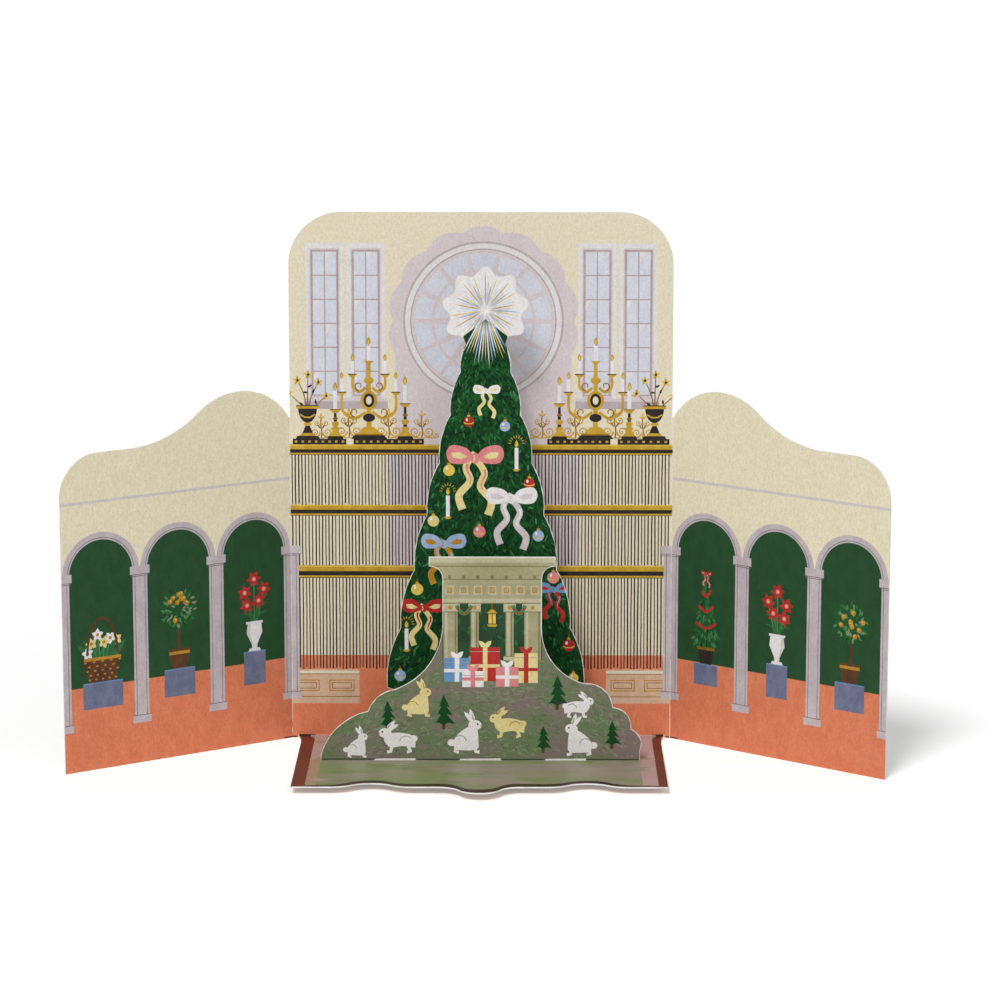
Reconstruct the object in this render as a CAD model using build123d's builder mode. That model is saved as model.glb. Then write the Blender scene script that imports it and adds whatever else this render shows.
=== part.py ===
"""Pop-up card: a folded die-cut sheet with a tree and a hill that stand on its floor flap.

The back panel stands upright. Two wings fold forward from its sides and a floor flap folds
forward from its foot. The tree and the hill are flat layers parallel to the panel. Their tabs
go through slits in the floor and lie against its underside, and folded paper struts tie panel,
tree and hill together, so that the layers lie down flat when the floor flap is folded up.

Millimetres. +X is right, +Y is away from the viewer and +Z is up. The origin is the middle of
the card's footprint, at the height of the table.
"""

import os
from math import cos, dist, radians, sin, tan

from build123d import *

# Card stock
sheet = 0.5  # thickness of the folded main sheet
layer = 0.4  # thickness of the standing layers and the struts
fold_radius = 0.4  # inside radius of the folds in the main sheet
strut_fold_radius = 0.3  # inside radius of the folds in a strut
slit_clearance = 0.3  # room round a tab in its slit, and the inside radius of the tab's bend
floor_cut = 0.3  # width of the cut that frees each end of the floor fold

# Back panel
panel_width = 127.0
panel_height = 178.2  # 177.95 above the floor fold's underside, close to 7 inches
panel_corner = 17.5

# Wings, measured along the wing from its fold
wing_width = 85.5
left_fold_angle = 33.8  # degrees forward of the panel
right_fold_angle = 37.9
wing_fold_height = 109.6  # where the wing leaves the panel's edge
wing_crown_height = 120.2
wing_crown_reach = 18.5
wing_shoulder_height = 105.2
wing_shoulder_length = 11.5  # level stretch between the ogee and the outer corner
wing_corner = 14.0
wing_ogee_share = 0.38  # part of the ogee that belongs to the crown

# Floor flap, measured along the flap from its fold
floor_rise_angle = 1.5  # degrees by which the flap springs up towards its front edge
floor_foot = 0.25  # height of the floor fold's underside above the table
floor_width = 120.6
floor_fold_width = 123.0  # the sides flare to this width at the fold
floor_flare_length = 9.5
floor_depth = 70.4
floor_corner_length = 12.5  # level stretch of the front edge at each corner
floor_arch_depth = 4.7
floor_bow_width = 26.0
floor_bow_depth = 8.1
floor_bow_gap = 8.5  # level stretch between the bow and an arch
floor_wave_share = 0.5  # part of each wave that bends one way

# Standing layers
layer_gap = 0.1  # between the floor and the bottom edge of a layer
tab_length = 7.0
tab_width = 14.0

# Tree and star, with heights above the bottom edge of the layer
tree_distance = 15.5  # from the front of the panel to the front of the tree
tree_offset = 1.6  # the tree stands a little to the right of the card's middle
tree_top_height = 136.4
tree_top_width = 12.0
tree_skirt_height = 20.1
tree_skirt_width = 65.5
tree_foot_height = 16.1
tree_foot_width = 46.0
tree_boughs = 7  # on each side
bough_growth = 1.25  # above 1, the boughs grow longer towards the skirt
bough_depth = 0.075  # bulge of a bough as a part of its length
tree_tab_spacing = 26.0
star_seat = 0.9  # depth of the star's lowest valley below the tree's top
star_points = 9
star_tip_radius = 15.5
star_valley_radius = 11.3
star_rounding = 2.0

# Hill and pavilion, with heights above the bottom edge of the layer
hill_distance = 35.0  # from the front of the panel to the front of the hill
hill_width = 104.8
hill_tab_spacing = 28.0
left_side_height = 1.5  # the left edge climbs from here over two mounds
left_ledge_reach = 36.8  # from the card's middle to where the mounds meet
left_ledge_height = 16.4
left_shoulder_reach = 28.0  # the upper mound ends here, and a hollow sweeps up to the post
left_shoulder_height = 23.8
left_sweep_height = 46.0
left_mound_depth = 0.14  # bulge of a mound as a part of its length
right_side_height = 3.4  # the right edge climbs from here over three mounds
right_toe_reach = 49.4
right_toe_height = 10.4
right_ledge_reach = 43.4
right_ledge_height = 17.8
right_shoulder_reach = 34.0
right_shoulder_height = 25.8
right_sweep_height = 44.0
right_mound_depth = 0.22
pavilion_offset = 3.9
pavilion_width = 32.4
pavilion_height = 68.2
cornice_overhang = 4.4
cornice_thickness = 3.2
cornice_cove = 4.0

# Struts
strut_tab_length = 9.0
tree_strut_width = 16.0
tree_strut_height = 98.0
hill_strut_width = 10.0
hill_strut_height = 16.0
hill_strut_spacing = 32.0

# Floor fold: its axis runs along X, in front of the panel
floor_rise = radians(floor_rise_angle)
outer_radius = fold_radius + sheet
fold_line = floor_foot + outer_radius
fold_reach = fold_radius + outer_radius * sin(floor_rise)
fold_end_height = fold_line - outer_radius * cos(floor_rise)


def wing_side_reach(angle):
    """Return how far a wing's outer edge lies from the card's middle."""
    turn = radians(angle)
    return panel_width / 2 + outer_radius * sin(turn) + wing_width * cos(turn)


def wing_front_reach(angle):
    """Return how far a wing's outer edge lies in front of the panel."""
    turn = radians(angle)
    return fold_radius * (1 - cos(turn)) + wing_width * sin(turn)


# Place of the panel's front face, with the footprint centred on the origin
front_reach = max(
    fold_reach + (floor_depth + floor_bow_depth) * cos(floor_rise),
    wing_front_reach(left_fold_angle),
    wing_front_reach(right_fold_angle),
)
panel_x = (wing_side_reach(left_fold_angle) - wing_side_reach(right_fold_angle)) / 2
panel_y = (front_reach - sheet) / 2


def along_floor(distance):
    """Return how far along the floor flap a point lies that is in front of the panel by distance."""
    return (distance - fold_reach) / cos(floor_rise)


def floor_underside(distance):
    """Return the height of the floor's underside in front of the panel by distance."""
    return fold_end_height + (distance - fold_reach) * tan(floor_rise)


def layer_bottom(distance):
    """Return the height of the bottom edge of a layer that stands in front of the panel by distance."""
    return floor_underside(distance) + sheet / cos(floor_rise) + layer_gap


def facing_plane(x, distance, height):
    """Return an upright plane that faces the viewer, in front of the panel by distance."""
    return Plane(
        origin=(panel_x + x, panel_y - distance, height), x_dir=(1, 0, 0), z_dir=(0, -1, 0)
    )


def side_plane(x):
    """Return the upright plane at x, with its own x axis along +Y from the panel's front."""
    return Plane(origin=(panel_x + x, panel_y, 0), x_dir=(0, 1, 0), z_dir=(1, 0, 0))


def ogee(start, end, share, heading):
    """Draw two tangent arcs from start to end, both ends parallel to heading."""
    turning_point = Vector(*start) + (Vector(*end) - Vector(*start)) * share
    first = TangentArc(start, turning_point, tangent=heading)
    TangentArc(turning_point, end, tangent=first % 1)


def between(start, end, part):
    """Return the point that lies a part of the way from start to end."""
    return (start[0] + (end[0] - start[0]) * part, start[1] + (end[1] - start[1]) * part)


def scallops(points, depth):
    """Draw arcs from point to point, each bulging to the left by depth times its length."""
    for near, far in zip(points, points[1:]):
        SagittaArc(near, far, depth * dist(near, far))


tree_slits = [tree_offset + side * tree_tab_spacing / 2 for side in (-1, 1)]
hill_slits = [step * hill_tab_spacing for step in (-1, 0, 1)]
os.makedirs("parts", exist_ok=True)


# Main sheet: back panel, wings and floor flap in one piece
with BuildPart() as card_sheet:
    # Back panel. Its foot is open between the two cuts, where the floor folds away from it
    half_panel = panel_width / 2
    half_fold = floor_fold_width / 2
    with BuildSketch(facing_plane(0, 0, 0)):
        with BuildLine():
            Polyline(
                (0, fold_line),
                (half_fold + floor_cut, fold_line),
                (half_fold + floor_cut, 0),
                (half_panel, 0),
                (half_panel, panel_height - panel_corner),
            )
            TangentArc(
                (half_panel, panel_height - panel_corner),
                (half_panel - panel_corner, panel_height),
                tangent=(0, 1),
            )
            Line((half_panel - panel_corner, panel_height), (0, panel_height))
            mirror(about=Plane.YZ)
        make_face()
    extrude(amount=-sheet)

    # Wings, each with its own fold
    for side, angle in ((-1, left_fold_angle), (1, right_fold_angle)):
        turn = radians(angle)
        fold_axis = (panel_x + side * half_panel, panel_y - fold_radius)
        with BuildSketch(Plane.XY):
            with BuildLine():
                CenterArc(fold_axis, fold_radius + sheet / 2, 90, -side * angle)
            trace(line_width=sheet)
        extrude(amount=wing_fold_height)

        wing_start = (
            fold_axis[0] + side * fold_radius * sin(turn),
            fold_axis[1] + fold_radius * cos(turn),
            0,
        )
        wing_plane = Plane(
            origin=wing_start,
            x_dir=(cos(turn), -side * sin(turn), 0),
            z_dir=(-side * sin(turn), -cos(turn), 0),
        )
        corner_start = wing_width - wing_corner
        ogee_start = corner_start - wing_shoulder_length
        crown = (side * wing_crown_reach, wing_crown_height)
        with BuildSketch(wing_plane):
            with BuildLine():
                Polyline(
                    (0, wing_fold_height),
                    (0, 0),
                    (side * wing_width, 0),
                    (side * wing_width, wing_shoulder_height - wing_corner),
                )
                TangentArc(
                    (side * wing_width, wing_shoulder_height - wing_corner),
                    (side * corner_start, wing_shoulder_height),
                    tangent=(0, 1),
                )
                Line(
                    (side * corner_start, wing_shoulder_height),
                    (side * ogee_start, wing_shoulder_height),
                )
                ogee((side * ogee_start, wing_shoulder_height), crown, 1 - wing_ogee_share, (-side, 0))
                TangentArc(crown, (0, wing_fold_height), tangent=(-side, 0))
            make_face()
        extrude(amount=-sheet)

    # Floor fold
    with BuildSketch(side_plane(0)):
        with BuildLine():
            CenterArc((-fold_radius, fold_line), fold_radius + sheet / 2, 0, -90 - floor_rise_angle)
        trace(line_width=sheet)
    extrude(amount=half_fold, both=True)

    # Floor flap, with flared sides, a waved front edge and the slits for the tabs
    half_floor = floor_width / 2
    half_bow = floor_bow_width / 2
    arch_inner = half_bow + floor_bow_gap
    arch_outer = half_floor - floor_corner_length
    arch_crown = ((arch_inner + arch_outer) / 2, floor_arch_depth - floor_depth)
    floor_plane = Plane(
        origin=(panel_x, panel_y - fold_reach, fold_end_height),
        x_dir=(1, 0, 0),
        z_dir=(0, sin(floor_rise), cos(floor_rise)),
    )
    with BuildSketch(floor_plane):
        with BuildLine():
            Line((0, 0), (half_fold, 0))
            TangentArc((half_floor, -floor_flare_length), (half_fold, 0), tangent=(0, 1))
            Polyline(
                (half_floor, -floor_flare_length),
                (half_floor, -floor_depth),
                (arch_outer, -floor_depth),
            )
            ogee((arch_outer, -floor_depth), arch_crown, floor_wave_share, (-1, 0))
            ogee(arch_crown, (arch_inner, -floor_depth), floor_wave_share, (-1, 0))
            Line((arch_inner, -floor_depth), (half_bow, -floor_depth))
            ogee(
                (half_bow, -floor_depth),
                (0, -floor_depth - floor_bow_depth),
                floor_wave_share,
                (-1, 0),
            )
            mirror(about=Plane.YZ)
        make_face()
        for distance, slits in ((tree_distance, tree_slits), (hill_distance, hill_slits)):
            slit_y = -along_floor(distance - layer / 2)
            with Locations([(x, slit_y) for x in slits]):
                Rectangle(
                    tab_width + 2 * slit_clearance,
                    layer + 2 * slit_clearance,
                    mode=Mode.SUBTRACT,
                )
    extrude(amount=sheet)
card_sheet.part.label = "card_sheet"
export_step(card_sheet.part, "parts/card_sheet.step")


def tab_profile(distance):
    """Draw the middle line of a tab: down through its slit, then back under the floor."""
    middle = distance - layer / 2
    bend = floor_underside(middle) - layer / 2 / cos(floor_rise)
    FilletPolyline(
        (-middle, layer_bottom(distance)),
        (-middle, bend),
        (-middle + tab_length * cos(floor_rise), bend - tab_length * sin(floor_rise)),
        radius=slit_clearance + layer / 2,
    )


# Tree layer: scalloped tree and star in one sheet, on two tabs
with BuildPart() as tree_layer:
    with BuildSketch(facing_plane(tree_offset, tree_distance, layer_bottom(tree_distance))):
        half_skirt = tree_skirt_width / 2
        half_foot = tree_foot_width / 2
        with BuildLine():
            top = (tree_top_width / 2, tree_top_height)
            skirt = (half_skirt, tree_skirt_height)
            parts = [(bough / tree_boughs) ** bough_growth for bough in range(tree_boughs + 1)]
            Line((0, tree_top_height), top)
            scallops([between(top, skirt, part) for part in parts], bough_depth)
            Polyline(
                skirt,
                (half_foot, tree_foot_height),
                (half_foot, 0),
                (0, 0),
            )
            mirror(about=Plane.YZ)
        make_face()
        with BuildSketch(mode=Mode.PRIVATE) as star:
            with BuildLine():
                half_step = 180 / star_points
                Polyline(
                    *[
                        Vector(0, star_tip_radius if corner % 2 == 0 else star_valley_radius).rotate(
                            Axis.Z, corner * half_step
                        )
                        for corner in range(2 * star_points)
                    ],
                    close=True,
                )
            make_face()
            fillet(star.vertices(), radius=star_rounding)
        with Locations((0, tree_top_height - star_seat + star_valley_radius)):
            add(star.sketch)
    extrude(amount=-layer)
    for x in tree_slits:
        with BuildSketch(side_plane(x)):
            with BuildLine():
                tab_profile(tree_distance)
            trace(line_width=layer)
        extrude(amount=tab_width / 2, both=True)
tree_layer.part.label = "tree_layer"
export_step(tree_layer.part, "parts/tree_layer.step")


# Hill layer: mounds and hollows that climb to a flat-roofed pavilion, on three tabs
with BuildPart() as hill_layer:
    half_hill = hill_width / 2
    post_left = pavilion_offset - pavilion_width / 2
    post_right = pavilion_offset + pavilion_width / 2
    cornice_foot = pavilion_height - cornice_thickness
    with BuildSketch(facing_plane(0, hill_distance, layer_bottom(hill_distance))):
        with BuildLine():
            left_foot = (-half_hill, left_side_height)
            left_shoulder = (-left_shoulder_reach, left_shoulder_height)
            right_foot = (half_hill, right_side_height)
            right_shoulder = (right_shoulder_reach, right_shoulder_height)
            Polyline(left_foot, (-half_hill, 0), (half_hill, 0), right_foot)
            scallops(
                (left_foot, (-left_ledge_reach, left_ledge_height), left_shoulder),
                left_mound_depth,
            )
            scallops(
                (
                    right_shoulder,
                    (right_ledge_reach, right_ledge_height),
                    (right_toe_reach, right_toe_height),
                    right_foot,
                ),
                right_mound_depth,
            )
            for post, out, sweep_height, shoulder in (
                (post_left, -1, left_sweep_height, left_shoulder),
                (post_right, 1, right_sweep_height, right_shoulder),
            ):
                sweep = (post, sweep_height)
                cove_foot = (post, cornice_foot - cornice_cove)
                cornice_end = post + out * cornice_overhang
                TangentArc(sweep, shoulder, tangent=(0, -1))
                Line(sweep, cove_foot)
                TangentArc(cove_foot, (cornice_end, cornice_foot), tangent=(0, 1))
                Polyline(
                    (cornice_end, cornice_foot),
                    (cornice_end, pavilion_height),
                    (pavilion_offset, pavilion_height),
                )
        make_face()
    extrude(amount=-layer)
    for x in hill_slits:
        with BuildSketch(side_plane(x)):
            with BuildLine():
                tab_profile(hill_distance)
            trace(line_width=layer)
        extrude(amount=tab_width / 2, both=True)
hill_layer.part.label = "hill_layer"
export_step(hill_layer.part, "parts/hill_layer.step")


# Struts: paper strips with one glue tab turned up and one turned down
tree_back = tree_distance - layer
hill_back = hill_distance - layer
hill_strut_x = hill_strut_spacing / 2
tree_strut = (tree_strut_width, tree_strut_height, 0, tree_back)
hill_strut = (hill_strut_width, hill_strut_height, tree_distance, hill_back)
struts = (
    ("tree_strut", tree_offset, tree_strut),
    ("hill_strut_left", tree_offset - hill_strut_x, hill_strut),
    ("hill_strut_right", tree_offset + hill_strut_x, hill_strut),
)
for name, x, (width, height, rear_face, front_face) in struts:
    with BuildPart() as strut:
        with BuildSketch(side_plane(x)):
            rear = -rear_face - layer / 2
            front = -front_face + layer / 2
            with BuildLine():
                FilletPolyline(
                    (rear, height + strut_tab_length),
                    (rear, height),
                    (front, height),
                    (front, height - strut_tab_length),
                    radius=strut_fold_radius + layer / 2,
                )
            trace(line_width=layer)
        extrude(amount=width / 2, both=True)
    strut.part.label = name
    export_step(strut.part, f"parts/{name}.step")
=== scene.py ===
"""Looks of the pop-up card: its sheets with their print, the plain struts, a pale table and soft light.

Each printed sheet is drawn flat in millimetres, as the die cuts it, cut up along the edges of its
printed shapes, and then folded to the place of the solid that it stands for.
"""

import math
import random

import bpy
from mathutils import Matrix, Vector
from mathutils.geometry import delaunay_2d_cdt


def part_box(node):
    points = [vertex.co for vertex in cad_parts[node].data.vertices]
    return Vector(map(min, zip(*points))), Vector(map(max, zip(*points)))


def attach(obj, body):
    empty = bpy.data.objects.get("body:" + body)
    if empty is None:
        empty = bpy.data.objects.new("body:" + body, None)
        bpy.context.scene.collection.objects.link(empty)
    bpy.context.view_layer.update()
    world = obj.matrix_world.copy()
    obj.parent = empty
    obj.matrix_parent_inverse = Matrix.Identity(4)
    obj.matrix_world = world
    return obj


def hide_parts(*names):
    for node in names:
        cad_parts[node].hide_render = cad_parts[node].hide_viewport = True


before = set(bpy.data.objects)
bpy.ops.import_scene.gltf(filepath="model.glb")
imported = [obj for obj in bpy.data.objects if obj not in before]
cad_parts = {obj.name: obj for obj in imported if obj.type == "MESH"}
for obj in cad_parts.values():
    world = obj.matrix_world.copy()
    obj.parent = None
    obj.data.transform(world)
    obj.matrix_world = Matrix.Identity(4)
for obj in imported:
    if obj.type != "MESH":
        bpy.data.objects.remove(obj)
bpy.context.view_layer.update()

MM = 0.001
UP = math.pi / 2
FULL_TURN = 2 * math.pi

# Card stock and folds of the solids, in millimetres
SHEET = 0.5
LAYER = 0.4
FOLD_RADIUS = 0.4
FLOOR_FOOT = 0.25
FLOOR_CUT = 0.3
SLIT_CLEARANCE = 0.3
LAYER_GAP = 0.1
TAB_LENGTH = 7.0
TAB_WIDTH = 14.0

# Back panel and wings
PANEL_WIDTH = 127.0
PANEL_HEIGHT = 178.2
PANEL_CORNER = 17.5
WING_WIDTH = 85.5
LEFT_FOLD = math.radians(33.8)
RIGHT_FOLD = math.radians(37.9)
WING_FOLD_HEIGHT = 109.6
WING_CROWN = (18.5, 120.2)
WING_SHOULDER_HEIGHT = 105.2
WING_SHOULDER_LENGTH = 11.5
WING_CORNER = 14.0
WING_OGEE_SHARE = 0.38

# Floor flap
FLOOR_RISE = math.radians(1.5)
FLOOR_WIDTH = 120.6
FLOOR_FOLD_WIDTH = 123.0
FLOOR_FLARE_LENGTH = 9.5
FLOOR_DEPTH = 70.4
FLOOR_CORNER_LENGTH = 12.5
FLOOR_ARCH_DEPTH = 4.7
FLOOR_BOW_WIDTH = 26.0
FLOOR_BOW_DEPTH = 8.1
FLOOR_BOW_GAP = 8.5

# Tree and star
TREE_DISTANCE = 15.5
TREE_OFFSET = 1.6
TREE_TOP = (6.0, 136.4)
TREE_SKIRT = (32.75, 20.1)
TREE_FOOT = (23.0, 16.1)
TREE_BOUGHS = 7
BOUGH_GROWTH = 1.25
BOUGH_DEPTH = 0.075
TREE_TABS = (-13.0, 13.0)
STAR_SEAT = 0.9
STAR_POINTS = 9
STAR_TIP = 15.5
STAR_VALLEY = 11.3
STAR_ROUNDING = 2.0
STAR_HEIGHT = TREE_TOP[1] - STAR_SEAT + STAR_VALLEY

# Hill and pavilion
HILL_DISTANCE = 35.0
HILL_TABS = (-28.0, 0.0, 28.0)
HILL_HALF = 52.4
LEFT_EDGE = ((-HILL_HALF, 1.5), (-36.8, 16.4), (-28.0, 23.8))
LEFT_SWEEP = 46.0
LEFT_MOUND_DEPTH = 0.14
RIGHT_EDGE = ((34.0, 25.8), (43.4, 17.8), (49.4, 10.4), (HILL_HALF, 3.4))
RIGHT_SWEEP = 44.0
RIGHT_MOUND_DEPTH = 0.22
POST_LEFT = -12.3
POST_RIGHT = 20.1
PAVILION_HEIGHT = 68.2
CORNICE_OVERHANG = 4.4
CORNICE_THICKNESS = 3.2
CORNICE_COVE = 4.0
PAVILION_MIDDLE = (POST_LEFT + POST_RIGHT) / 2

# Print: where the wings' ground ends, and the width of the bare edge round a cut layer
WING_GROUND = 28.0
BARE_EDGE = 0.2

# Paper texture: fineness of the print's tooth, fibres and cracks, and of bare card's fibres and clouding
TOOTH_SCALE = 2300.0
FIBRE_SCALE = 1250.0
CRACK_SCALE = 900.0
BARE_FIBRE_SCALE = 1800.0
CLOUD_SCALE = 220.0

# Numbers of a printed sheet's materials. The print is 0 and its back 1, and the floor's back is 4, which is
# tan to brown and darken the shadow under the floor's front edge as painted shade.
EDGE_MATERIAL = 2
FLOOR_MATERIAL = 3

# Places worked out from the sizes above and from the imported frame
HALF_PANEL = PANEL_WIDTH / 2
HALF_FLOOR_FOLD = FLOOR_FOLD_WIDTH / 2
FOLD_LINE = FLOOR_FOOT + FOLD_RADIUS + SHEET
FLOOR_BEND = math.pi / 2 + FLOOR_RISE
FLOOR_BEND_LENGTH = FOLD_RADIUS * FLOOR_BEND
FLOOR_ENDS = HALF_FLOOR_FOLD + FLOOR_CUT / 2
FOLD_REACH = FOLD_RADIUS + (FOLD_RADIUS + SHEET) * math.sin(FLOOR_RISE)
FOLD_END = FOLD_LINE - (FOLD_RADIUS + SHEET) * math.cos(FLOOR_RISE)
PRINT_HALF = HALF_PANEL + 1
BACK_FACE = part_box("card_sheet")[1].y / MM
PANEL_Y = BACK_FACE - SHEET


def wing_reach(turn):
    """Return how far a wing's outer edge lies from the panel's middle."""
    return HALF_PANEL + (FOLD_RADIUS + SHEET) * math.sin(turn) + WING_WIDTH * math.cos(turn)


PANEL_X = (wing_reach(LEFT_FOLD) - wing_reach(RIGHT_FOLD)) / 2


def floor_underside(distance):
    """Return the height of the floor flap's underside, in front of the panel by distance."""
    return FOLD_END + (distance - FOLD_REACH) * math.tan(FLOOR_RISE)


def layer_bottom(distance):
    """Return the height of a standing layer's bottom edge, in front of the panel by distance."""
    return floor_underside(distance) + SHEET / math.cos(FLOOR_RISE) + LAYER_GAP


# Flat shapes, in millimetres. A loop is a list of points, and a motif a list of (ink, loop) in drawing order.


def box(x0, y0, x1, y1):
    """Return a rectangle between two opposite corners."""
    return [(x0, y0), (x1, y0), (x1, y1), (x0, y1)]


def taper(x, y, foot, head, height):
    """Return an upright trapezium whose foot is centred on x, y."""
    return [(x - foot / 2, y), (x + foot / 2, y), (x + head / 2, y + height), (x - head / 2, y + height)]


def slab(ink, x, half, low, high):
    """Return a rectangle in an ink, centred on x."""
    return (ink, box(x - half, low, x + half, high))


def polar(x, y, reach, angle):
    """Return the point at a reach from x, y along an angle."""
    return (x + reach * math.cos(angle), y + reach * math.sin(angle))


def oval(x, y, rx, ry, steps=20, start=0.0, end=FULL_TURN):
    """Return an ellipse, or the part of one between two angles."""
    whole = end - start > FULL_TURN - 1e-6
    last = steps if whole else steps - 1
    turns = [start + (end - start) * i / last for i in range(steps)]
    return [(x + rx * math.cos(a), y + ry * math.sin(a)) for a in turns]


def arch(x0, y0, x1, spring, steps=24):
    """Return an opening with upright sides and a half-round head above the springing."""
    radius = (x1 - x0) / 2
    return [(x0, y0), (x1, y0)] + oval(x0 + radius, spring, radius, radius, steps, 0.0, math.pi)


def leaf(x, y, length, width, angle, bend=0.0):
    """Return a pointed brush mark that starts at x, y and runs along angle."""
    marks = ((0.0, 0.0), (0.3, -0.5), (0.7, -0.38), (1.0, 0.0), (0.7, 0.38), (0.3, 0.5))
    c, s = math.cos(angle), math.sin(angle)
    loop = []
    for along, across in marks:
        p = along * length
        q = across * width + bend * length * along * (1 - along)
        loop.append((x + p * c - q * s, y + p * s + q * c))
    return loop


def curve(points, steps=6):
    """Return a smooth line through points."""
    ends = [points[0]] + list(points) + [points[-1]]
    line = [points[0]]
    for a, b, c, d in zip(ends, ends[1:], ends[2:], ends[3:]):
        for i in range(1, steps + 1):
            t = i / steps
            line.append(
                tuple(
                    0.5 * (2 * q + (r - p) * t + (2 * p - 5 * q + 4 * r - s) * t**2
                           + (3 * q - p - 3 * r + s) * t**3)
                    for p, q, r, s in zip(a, b, c, d)
                )
            )
    return line


def stroke(path, width, tip=1.0):
    """Return the outline of a brush stroke along path that narrows to tip times its width."""
    left, right = [], []
    last = len(path) - 1
    for i, (x, y) in enumerate(path):
        ahead, behind = path[min(i + 1, last)], path[max(i - 1, 0)]
        dx, dy = ahead[0] - behind[0], ahead[1] - behind[1]
        half = width / 2 * (1 + (tip - 1) * i / last) / math.hypot(dx, dy)
        left.append((x - dy * half, y + dx * half))
        right.append((x + dy * half, y - dx * half))
    return left + right[::-1]


def dot(ink, x, y, radius, steps=10):
    """Return a disc in an ink."""
    return (ink, oval(x, y, radius, radius, steps))


def petals(inks, x, y, count, length, width, turn):
    """Return a ring of petals round x, y that takes its inks in turn."""
    ring = [leaf(x, y, length, width, i * FULL_TURN / count + turn) for i in range(count)]
    return [(inks[i % len(inks)], petal) for i, petal in enumerate(ring)]


def spiral(x, y, radius, start, turns, hand, steps=18):
    """Return a line that winds in from its outer end round x, y. hand is 1 for anticlockwise."""
    tightening = 0.72
    line = []
    for i in range(steps):
        t = i / (steps - 1)
        line.append(polar(x, y, radius * (1 - tightening * t), start + hand * FULL_TURN * turns * t))
    return line


def moved(motif, x, y, scale=1.0, flip=1):
    """Return a motif drawn at x, y, scaled and, with flip of -1, mirrored."""
    return [(ink, [(x + flip * scale * p, y + scale * q) for p, q in loop]) for ink, loop in motif]


def flipped(points, side=-1):
    """Return points mirrored left to right, or as they are for a side of 1."""
    return [(side * x, y) for x, y in points]


def sides_of(loop):
    """Return each side of a closed loop as two neighbouring points."""
    return zip(loop, loop[1:] + loop[:1])


def corners_of(loop):
    """Return each point of a closed loop between its two neighbours."""
    return zip(loop[-1:] + loop[:-1], loop, loop[1:] + loop[:1])


def tangent_arc(start, end, heading, steps=12):
    """Return points on the arc that leaves start along heading and ends at end, and its last heading."""
    dx, dy = end[0] - start[0], end[1] - start[1]
    chord = math.hypot(dx, dy)
    half = (math.atan2(dy, dx) - heading + math.pi) % FULL_TURN - math.pi
    points = []
    for i in range(1, steps + 1):
        part = half * i / steps
        points.append(polar(*start, chord * math.sin(part) / math.sin(half), heading + part))
    return points, heading + 2 * half


def ogee(start, end, share, heading):
    """Return points on two tangent arcs from start to end that meet a share of the way along."""
    middle = (start[0] + (end[0] - start[0]) * share, start[1] + (end[1] - start[1]) * share)
    first, turned = tangent_arc(start, middle, heading)
    return first + tangent_arc(middle, end, turned)[0]


def scallops(points, depth, steps=12):
    """Return a line of arcs from point to point that bulge to the left by depth times their length."""
    line = [points[0]]
    for near, far in zip(points, points[1:]):
        heading = math.atan2(far[1] - near[1], far[0] - near[0]) + 2 * math.atan(2 * depth)
        line += tangent_arc(near, far, heading, steps)[0]
    return line


def rounded(corners, radius, steps=5):
    """Return a closed loop with each corner rounded to radius."""
    loop = []
    for before, corner, after in corners_of(corners):
        come = math.atan2(corner[1] - before[1], corner[0] - before[0])
        go = math.atan2(after[1] - corner[1], after[0] - corner[0])
        turn = (go - come + math.pi) % FULL_TURN - math.pi
        cut = radius * math.tan(abs(turn) / 2)
        first, last = polar(*corner, -cut, come), polar(*corner, cut, go)
        loop.append(first)
        loop += tangent_arc(first, last, come, steps)[0]
    return loop


def signed_area(loop):
    """Return a loop's area, positive if it runs anticlockwise."""
    return sum(a[0] * b[1] - b[0] * a[1] for a, b in sides_of(loop)) / 2


def inset(loop, margin, rng):
    """Return an anticlockwise loop moved inwards by about margin, as a cutter that drifts leaves it."""
    moved_in = []
    for before, here, after in corners_of(loop):
        come = Vector((here[0] - before[0], here[1] - before[1])).normalized()
        go = Vector((after[0] - here[0], after[1] - here[1])).normalized()
        normal = Vector((-come.y - go.y, come.x + go.x)).normalized()
        reach = margin * rng.uniform(0.5, 1.5) / max(0.5, normal.dot(Vector((-come.y, come.x))))
        moved_in.append((here[0] + normal.x * reach, here[1] + normal.y * reach))
    return moved_in


def bare_rim(loop, field):
    """Return the bare edge of the card between a loop and the print inside it."""
    return [("paper", [a, b, d, c]) for (a, b), (c, d) in zip(sides_of(loop), sides_of(field))]


def holds(loop, x, y):
    """Tell whether a point lies inside a loop."""
    inside = False
    for (ax, ay), (bx, by) in sides_of(loop):
        if (ay > y) != (by > y) and x < ax + (bx - ax) * (y - ay) / (by - ay):
            inside = not inside
    return inside


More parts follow.
